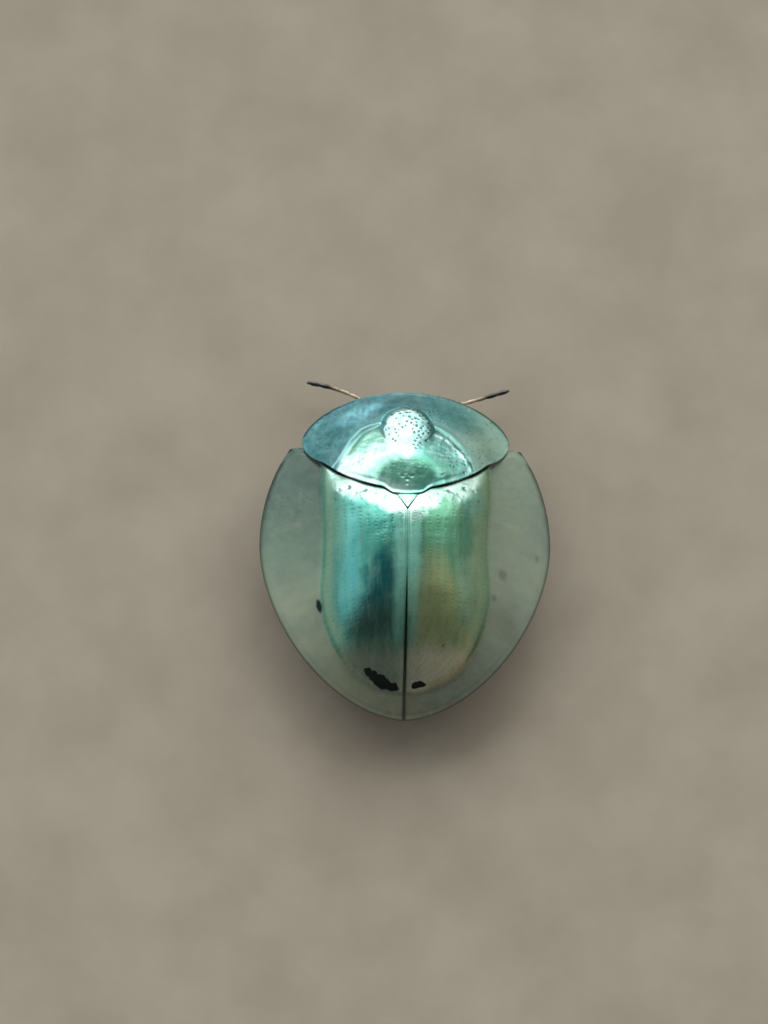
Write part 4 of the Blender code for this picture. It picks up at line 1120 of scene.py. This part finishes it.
def leg(name, side):
    hip, knee, ankle, foot, heading = LEGS[name]
    hip, knee, ankle = (mirrored(p, side) for p in (hip, knee, ankle))
    foot = np.array([foot[0] * (1 if side == "right" else -1), foot[1]])
    h = math.radians(heading if side == "right" else -heading)
    forward = np.array([-math.sin(h), math.cos(h), 0.0])
    limb = Piece()
    # hip joint and trochanter
    toward = (knee - hip) / np.linalg.norm(knee - hip)
    v, f, d = ball(hip - toward * 0.02 + (0, 0, 0.10), (0.25, 0.22, 0.30), 22, 30, lambda d: 1 + 0.03 * np.sin(6 * d[:, 0] + 4 * d[:, 1]))
    limb.add(v, f, part=0.0, run=0.0)
    v, f, d = ball(hip + toward * 0.20 + np.array([0, 0, -0.03]), (0.15, 0.14, 0.13), 18, 26)
    limb.add(v, f, part=0.2, run=0.0)
    # thigh: swells past its middle
    t = np.linspace(0, 1, 40)[:, None]
    path = hip + toward * 0.22 + (knee - hip - toward * 0.20) * t + np.array([0, 0, 0.05]) * np.sin(math.pi * t)
    t = t[:, 0]
    tall = 0.115 + 0.095 * np.sin(math.pi * np.clip(t * 0.95 + 0.02, 0, 1)) ** 0.8 - 0.02 * t
    v, f, ts = sweep(path, 0.86 * tall, tall, 28, bump=lambda s, g: 0.012 * np.sin(5 * g + 9 * s) + 0.010 * np.sin(3 * g - 14 * s))
    limb.add(v, f, part=0.4, run=ts)
    # shin: slender at the knee, widening to a notched end
    start = knee + (ankle - knee) * -0.02
    path = start + (ankle - start) * np.linspace(0, 1, 34)[:, None]
    bend = np.sin(math.pi * np.linspace(0, 1, 34))[:, None] * np.array([0, 0, 0.035])
    t = np.linspace(0, 1, 34)
    wide = 0.088 + 0.070 * t ** 1.5
    v, f, ts = sweep(path + bend, wide, 0.082 + 0.045 * t ** 1.5, 26, bump=lambda s, g: 0.05 * np.maximum(0, np.cos(g)) ** 6 + 0.012 * np.sin(7 * g + 8 * s))
    limb.add(v, f, part=0.6, run=ts)
    v, f, d = ball(knee + np.array([0, 0, -0.005]), (0.115, 0.115, 0.115), 16, 24)
    limb.add(v, f, part=0.5, run=1.0)
    rng = np.random.default_rng(hash_of(name + side))
    for _ in range(90):
        a = rng.uniform(0.1, 0.98)
        base = start + (ankle - start) * a + np.array([0, 0, 0.035]) * math.sin(math.pi * a)
        along = (ankle - start) / np.linalg.norm(ankle - start)
        s1 = np.cross(along, (0, 0, 1)); s1 /= np.linalg.norm(s1)
        s2 = np.cross(s1, along)
        g = rng.uniform(0, 2 * math.pi)
        r = math.cos(g) * s1 + math.sin(g) * s2
        w = (0.084 + 0.066 * a ** 1.5)
        add_hair(limb, base + r * w * 0.96, 0.5 * r + 0.86 * along, rng.uniform(0.06, 0.12), 0.006, part=0.7, run=a)
    obj = limb.finish("limb_%s_%s" % (name, side), ["leg_%s_%s" % (name, side)])

    # foot: three lobed joints and a slim last one with its two claws
    piece = Piece()
    across = np.cross(forward, (0, 0, 1))
    middle = np.array([foot[0], foot[1], 0.0])
    heel = middle - forward * 0.40
    ankle_low = np.array([ankle[0], ankle[1], ankle[2] - 0.06])
    # the first joint comes down from the shin's end
    path = spline([ankle_low, ankle_low * 0.45 + (heel + (0, 0, 0.30)) * 0.55 + forward * -0.03, heel + (0, 0, 0.17), heel + forward * 0.14 + (0, 0, 0.11)], 18)
    t = np.linspace(0, 1, 18)
    v, f, ts = sweep(path, 0.085 + 0.055 * t, 0.075 + 0.022 * t, 24)
    piece.add(v, f, part=0.1, run=0.1 * ts)
    for k, (centre, length, half) in enumerate(((-0.26, 0.17, 0.19), (-0.02, 0.17, 0.23), (0.20, 0.20, 0.27))):
        def lobes(d, k=k):
            ahead = np.maximum(0, d[:, 0])
            notch = 1 - (0.10, 0.16, 0.62)[k] * ahead ** 1.5 * np.exp(-(d[:, 1] / 0.26) ** 2)
            flat = 1 - 0.10 * np.maximum(0, -d[:, 2]) ** 2
            return notch * flat * (1 + 0.10 * ahead * np.abs(d[:, 1]))
        axes = np.array([forward, across, (0, 0, 1.0)])
        v, f, d = ball((0, 0, 0), (length, half, 0.085), 36, 48, lobes, axes)
        v = v + middle + forward * centre
        v[:, 2] += 0.082
        v[:, 2] = np.maximum(v[:, 2], 0.0)
        piece.add(v, f, part=0.2 + 0.1 * k, run=0.25 + 0.2 * k)
    last = spline([middle + forward * 0.14 + (0, 0, 0.13), middle + forward * 0.30 + (0, 0, 0.16), middle + forward * 0.44 + (0, 0, 0.13)], 14)
    v, f, ts = sweep(last, 0.045 + 0.028 * np.linspace(0, 1, 14), 0.045 + 0.02 * np.linspace(0, 1, 14), 20)
    piece.add(v, f, part=0.6, run=0.85)
    for sign in (-1, 1):
        root = last[-1] + across * 0.030 * sign
        path = spline([root - forward * 0.02, root + forward * 0.06 + across * 0.035 * sign + (0, 0, 0.012),
                       root + forward * 0.12 + across * 0.062 * sign + (0, 0, -0.03), root + forward * 0.135 + across * 0.070 * sign + (0, 0, -0.092)], 16)
        t = np.linspace(0, 1, 16)
        v, f, ts = sweep(path, 0.026 * (1 - 0.86 * t) + 0.002, 0.028 * (1 - 0.86 * t) + 0.002, 14, caps=3)
        piece.add(v, f, part=1.0, run=ts)
        path = spline([root, root + forward * 0.035 + across * 0.02 * sign + (0, 0, -0.035), root + forward * 0.045 + across * 0.03 * sign + (0, 0, -0.065)], 8)
        t = np.linspace(0, 1, 8)
        v, f, ts = sweep(path, 0.018 * (1 - 0.8 * t) + 0.002, 0.018 * (1 - 0.8 * t) + 0.002, 12, caps=2)
        piece.add(v, f, part=1.0, run=ts)
    # the brush of stiff hairs round the lobes
    for _ in range(170):
        k = rng.integers(0, 3)
        centre, length, half = ((-0.26, 0.17, 0.19), (-0.02, 0.17, 0.23), (0.20, 0.20, 0.27))[k]
        g = rng.uniform(0, 2 * math.pi)
        r = forward * math.cos(g) * length * 0.93 + across * math.sin(g) * half * 0.95
        direction = r / np.linalg.norm(r) * 0.9 + forward * 0.35
        add_hair(piece, middle + forward * centre + r + (0, 0, rng.uniform(0.03, 0.07)), direction + np.array([0, 0, -0.10]), rng.uniform(0.035, 0.06), 0.0055, part=0.9, run=0.5)
    for verts in piece.verts:
        verts[:, 2] = np.maximum(verts[:, 2], 0.0)
    foot_obj = piece.finish("foot_%s_%s" % (name, side), ["tarsus_%s_%s" % (name, side)])
    return obj, foot_obj


def hash_of(text):
    return sum((i + 1) * ord(c) for i, c in enumerate(text))


def add_hair(piece, start, direction, length, half, **values):
    direction = np.asarray(direction, float) / np.linalg.norm(direction)
    path = np.stack([np.asarray(start) + direction * length * t for t in (0, 0.4, 0.75, 1.0)])
    path[:, 2] -= 0.12 * length * np.array([0, 0.16, 0.56, 1.0])
    if abs(direction[2]) > 0.97:
        path[:, 0] += 1e-4 * np.arange(4)
    v, f, _ = sweep(path, half * np.array([1, 0.8, 0.5, 0.15]), half * np.array([1, 0.8, 0.5, 0.15]), 5, up=(0.02, 0.01, 1), caps=1)
    piece.add(v, f, **values)


def leg_look():
    look = Look("leg cuticle", Coat_Weight=0.45, Coat_Roughness=0.16, IOR=1.54, Specular_IOR_Level=0.5, Subsurface_Weight=0.12,
                Subsurface_Scale=0.0002)
    part = look.mask("part")
    amber = look.mix(look.span(look.noise(2.4, 4.0), 0.35, 0.65), rgb(170, 116, 52), rgb(198, 148, 78))
    colour = look.mix(look.math("MULTIPLY", look.span(look.noise(7.0, 4.0), 0.5, 0.72), 0.4), amber, rgb(122, 78, 36))
    colour = look.mix(look.span(part, 0.12, 0.0), colour, rgb(86, 60, 36))
    colour = look.mix(look.span(part, 0.92, 0.98), colour, rgb(52, 28, 14))
    look.set("Base Color", colour)
    look.set("Roughness", look.span(look.noise(12.0, 3.0), 0.3, 0.7, 0.26, 0.44))
    look.bump(look.noise(22.0, 3.0), 0.008, 0.5)
    return look


# ---- underside ------------------------------------------------------------------------------
def body_half(y):
    rear = 2.13 * np.sqrt(np.maximum(0.0, 1 - np.clip((3.70 - y) / 2.26, 0, 1) ** 2.2))
    middle = 2.13 * (1 - 0.14 * smooth(4.6, 5.9, y))
    front = 1.62 - 0.42 * smooth(6.3, 7.5, y)
    waist = 1 - 0.20 * bell(y - 6.03, 0.12)
    return np.where(y < 3.70, rear, np.where(y < 6.0, middle, front) * waist)


def body():
    cols, rows = 150, 300
    v = np.linspace(0, 1, rows + 1)
    ys = 1.47 + (7.52 - 1.47) * (0.5 - 0.5 * np.cos(math.pi * v)) ** 0.92
    half = np.maximum(body_half(ys), 0.05) * np.sqrt(np.maximum(1 - smooth(7.30, 7.56, ys) * 0.6, 0.05))
    u = np.sin(math.pi * (np.linspace(0, 1, cols + 1) - 0.5))
    x = u[:, None] * half[None]
    y = np.ones((cols + 1, 1)) * ys[None]
    ax, un = np.abs(x), np.abs(u)[:, None]
    roof = np.where(y > 6.0, pronotum_disc(x, y), case_surface(x, y)) + RIM_Z - 0.20
    roof = np.minimum(roof, RIM_Z + 1.9)
    side_level = RIM_Z + 0.06 + 0.10 * smooth(1.4, 2.2, ys)[None]
    belly = 1.02 + 0.05 * un ** 2 + 0.16 * smooth(3.2, 1.4, y) + 0.05 * bell(y - 6.03, 0.14)
    drop = np.sqrt(np.maximum(0.0, 1 - un ** 3.2))
    low = side_level - (side_level - belly) * drop
    high = side_level + (np.maximum(roof, side_level + 0.02) - side_level) * np.maximum(0.0, 1 - un ** 6)

    groove = np.zeros(x.shape)
    for at, bow in ((3.86, 0.10), (3.02, 0.07), (2.62, 0.06), (2.26, 0.06), (1.90, 0.07)):
        groove = np.maximum(groove, bell(y - at - bow * (x / 2.0) ** 2, 0.028))
    swell = 0.0
    for a, b in ((3.86, 3.02), (3.02, 2.62), (2.62, 2.26), (2.26, 1.90), (1.90, 1.50)):
        t = np.clip((y - b) / (a - b), 0, 1)
        swell = swell + np.where((y >= b) & (y < a), np.sin(math.pi * t) * 0.028, 0)
    plates = np.maximum(bell(y - 4.62 - 0.08 * np.cos(x * 1.7), 0.030), bell(y - 5.86, 0.03))
    plates = np.maximum(plates, bell(ax - 1.42 - 0.05 * np.sin(3 * y), 0.028) * smooth(4.5, 4.7, y) * smooth(5.9, 5.8, y))
    plates = np.maximum(plates, bell(ax - 1.72, 0.03) * smooth(3.75, 3.6, y) * smooth(1.8, 2.1, y))
    plates = np.maximum(plates, bell(x, 0.022) * smooth(4.7, 4.85, y) * smooth(5.5, 5.4, y))
    hips = np.zeros(x.shape)
    for hx, hy, rx, ry in ((0.62, 6.95, 0.36, 0.33), (0.78, 5.55, 0.34, 0.31), (0.80, 4.22, 0.72, 0.22)):
        d = np.sqrt(((ax - hx) / rx) ** 2 + ((y - hy) / ry) ** 2)
        hips = hips + 0.055 * bell(d - 1.0, 0.16) - 0.035 * (1 - smooth(0.6, 1.0, d))
    keel = 0.035 * bell(x, 0.10) * smooth(5.7, 5.9, y) * smooth(7.3, 7.0, y) + 0.03 * bell(x, 0.35) * bell(y - 5.1, 0.45)
    rng = np.random.default_rng(71)
    dots = pits(x, y, [(rng.uniform(-2.1, 2.1), rng.uniform(1.5, 7.4)) for _ in range(900)], rng.uniform(0.018, 0.034, 900))
    low = low - (swell + hips + keel) * drop + (0.035 * groove + 0.030 * plates + 0.008 * dots) * drop + 0.006 * wander(x, y, 72, 0.5, 3) * drop
    top = np.stack([x, y, np.maximum(high, low + 0.01)], -1)
    bottom = np.stack([x, y, low], -1)
    low_mask = {"seam": np.maximum(groove, plates), "pit": dots, "plan_y": y}
    obj = thick_shell("body", top, bottom, 1, low_mask, sharp=70)
    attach(obj, "root")
    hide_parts("prothorax", "thorax", "abdomen")
    look = Look("underside plates", Coat_Weight=0.5, Coat_Roughness=0.14, IOR=1.54, Specular_IOR_Level=0.55)
    tint = look.mix(look.span(look.noise(1.6, 4.0), 0.35, 0.65), rgb(64, 42, 24), rgb(96, 66, 36))
    tint = look.mix(look.span(look.mask("plan_y"), 3.4, 1.6, 0.0, 0.6), tint, rgb(150, 112, 62))
    tint = look.mix(look.math("MULTIPLY", look.span(look.noise(8.0, 4.0), 0.5, 0.7), 0.35), tint, rgb(40, 26, 16))
    tint = look.mix(look.math("MULTIPLY", look.mask("seam"), 0.7, True), tint, rgb(26, 17, 11))
    tint = look.mix(look.math("MULTIPLY", look.mask("pit"), 0.45, True), tint, rgb(26, 17, 11))
    look.set("Base Color", tint)
    look.set("Roughness", look.span(look.noise(10.0, 3.0), 0.3, 0.7, 0.28, 0.46))
    look.bump(look.noise(20.0, 3.0), 0.008, 0.5)
    look.on(obj)


# ---- head -----------------------------------------------------------------------------------
def head():
    piece = Piece()

    def capsule(d):
        x, y, z = d[:, 0], d[:, 1], d[:, 2]
        face = smooth(0.1, 0.9, y)
        f = 1 - 0.30 * np.maximum(0, -z) ** 2 * np.abs(x) - 0.05 * face
        f = f - 0.040 * bell(x, 0.05) * face * smooth(-0.35, 0.1, z)                       # groove down the brow
        f = f - 0.045 * bell(np.abs(x) - 0.30 - 0.45 * (z + 0.35), 0.06) * face * (z < 0.25)  # clypeus sides
        f = f + 0.035 * bell(x, 0.22) * face * bell(z + 0.35, 0.25)
        f = f - 0.050 * bell(np.hypot(x - np.sign(x) * 0.27, z - 0.05), 0.10) * face          # feeler sockets
        f = f + 0.030 * bell(np.abs(x) - 0.60, 0.14) * bell(z - 0.28, 0.25)
        return f + 0.006 * np.sin(23 * x + 5 * z) * np.sin(21 * z + 9 * y)

    v, f, d = ball((0, 7.84, 1.00), (0.62, 0.44, 0.50), 110, 150, capsule)
    lower = np.minimum(0, v[:, 2] - 1.00)
    v[:, 1] += -0.10 * lower
    piece.add(v, f, part=0.0)
    v, f, d = ball((0, 8.16, 0.60), (0.21, 0.075, 0.085), 30, 44, lambda d: 1 - 0.16 * bell(d[:, 0], 0.25) * np.maximum(0, -d[:, 2]))
    piece.add(v, f, part=0.3)
    v, f, d = ball((0, 7.60, 0.98), (0.50, 0.26, 0.40), 30, 44)
    piece.add(v, f, part=0.0)
    for sign in (-1, 1):
        path = spline([(0.20 * sign, 8.06, 0.64), (0.17 * sign, 8.15, 0.55), (0.09 * sign, 8.19, 0.50), (0.02 * sign, 8.19, 0.49)], 22)
        t = np.linspace(0, 1, 22)
        v, f, ts = sweep(path, 0.075 * (1 - 0.72 * t), 0.055 * (1 - 0.55 * t), 20, up=(0, 1, 0.2), bump=lambda s, g: 0.06 * math.sin(16 * s) * (s > 0.6) + 0 * g)
        piece.add(v, f, part=0.7)
        joints = [((0.27, 7.98, 0.60), (0.33, 8.06, 0.545), 0.040), ((0.335, 8.065, 0.54), (0.36, 8.16, 0.51), 0.048),
                  ((0.36, 8.175, 0.505), (0.33, 8.25, 0.49), 0.046), ((0.325, 8.26, 0.488), (0.255, 8.31, 0.485), 0.044)]
        for k, (a, b, r) in enumerate(joints):
            a, b = np.array(a) * (sign, 1, 1), np.array(b) * (sign, 1, 1)
            t = np.linspace(0, 1, 9)
            shape = 0.74 + 0.26 * np.sin(math.pi * (0.1 + 0.8 * t)) if k < 3 else (0.85 + 0.15 * np.sin(math.pi * t)) * (1 - 0.55 * t ** 2)
            v, f, ts = sweep(a + (b - a) * t[:, None], r * shape, r * shape, 16, caps=4)
            piece.add(v, f, part=0.5)
        for a, b, r in (((0.10, 8.05, 0.52), (0.12, 8.12, 0.47), 0.028), ((0.12, 8.125, 0.465), (0.10, 8.19, 0.445), 0.026)):
            a, b = np.array(a) * (sign, 1, 1), np.array(b) * (sign, 1, 1)
            v, f, ts = sweep(a + (b - a) * np.linspace(0, 1, 7)[:, None], r, r, 14, caps=3)
            piece.add(v, f, part=0.5)
        v, f, d = ball((0.165 * sign, 8.235, 0.985), (0.105, 0.075, 0.105), 24, 32, lambda d: 1 - 0.16 * bell(np.hypot(d[:, 0], d[:, 2]), 0.5) * (d[:, 1] > 0))
        piece.add(v, f, part=0.2)
    obj = piece.finish("head_capsule", ["head"])
    look = Look("head cuticle", Coat_Weight=0.45, Coat_Roughness=0.15, IOR=1.54, Specular_IOR_Level=0.5)
    tint = look.mix(look.span(look.noise(2.6, 4.0), 0.35, 0.65), rgb(120, 82, 44), rgb(158, 114, 62))
    tint = look.mix(look.math("MULTIPLY", look.span(look.noise(9.0, 4.0), 0.5, 0.72), 0.45), tint, rgb(80, 52, 28))
    tint = look.mix(look.span(look.mask("part"), 0.55, 0.68), tint, rgb(38, 20, 12))
    look.set("Base Color", tint)
    look.set("Roughness", look.span(look.noise(12.0, 3.0), 0.3, 0.7, 0.26, 0.44))
    look.bump(look.cells(14.0), 0.008, 0.5)
    look.on(obj)


def eye(side):
    sign = 1 if side == "right" else -1
    k = np.arange(620) + 0.5
    lat, lon = np.arccos(1 - 2 * k / 620), math.pi * (1 + 5 ** 0.5) * k
    lens = np.stack([np.sin(lat) * np.cos(lon), np.sin(lat) * np.sin(lon), np.cos(lat)], 1)

    def facets(d):
        near = np.max(d @ lens.T, axis=1)
        return 1 - 1.9 * (1 - near) * 3.0

    v, f, d = ball((0.53 * sign, 7.87, 1.01), (0.25, 0.27, 0.30), 120, 170, facets)
    piece = Piece()
    near = np.max(d @ lens.T, axis=1)
    piece.add(v, f, lens=np.clip((1 - near) / 0.0035, 0, 1))
    return piece.finish("compound_eye_" + side, ["eye_" + side], sharp=80)


def eye_look():
    look = Look("compound eye", Coat_Weight=0.9, Coat_Roughness=0.06, IOR=1.5, Specular_IOR_Level=0.6)
    tint = look.mix(look.span(look.noise(4.0, 3.0), 0.3, 0.7), rgb(16, 12, 10), rgb(40, 26, 18))
    look.set("Base Color", look.mix(look.math("MULTIPLY", look.mask("lens"), 0.6), tint, rgb(64, 44, 30)))
    look.set("Roughness", look.span(look.mask("lens"), 0.0, 1.0, 0.16, 0.5))
    return look


# ---- the beetle -----------------------------------------------------------------------------
camera()
studio()
floor()
cases = [elytron("left"), elytron("right")]
wing_case_look().on(*cases)
shield = pronotum()
pronotum_look().on(shield)
scutellum()
body()
head()
eye_look().on(eye("left"), eye("right"))
feeler_look().on(feeler("left"), feeler("right"))
limbs = [obj for name in LEGS for side in ("left", "right") for obj in leg(name, side)]
leg_look().on(*limbs)
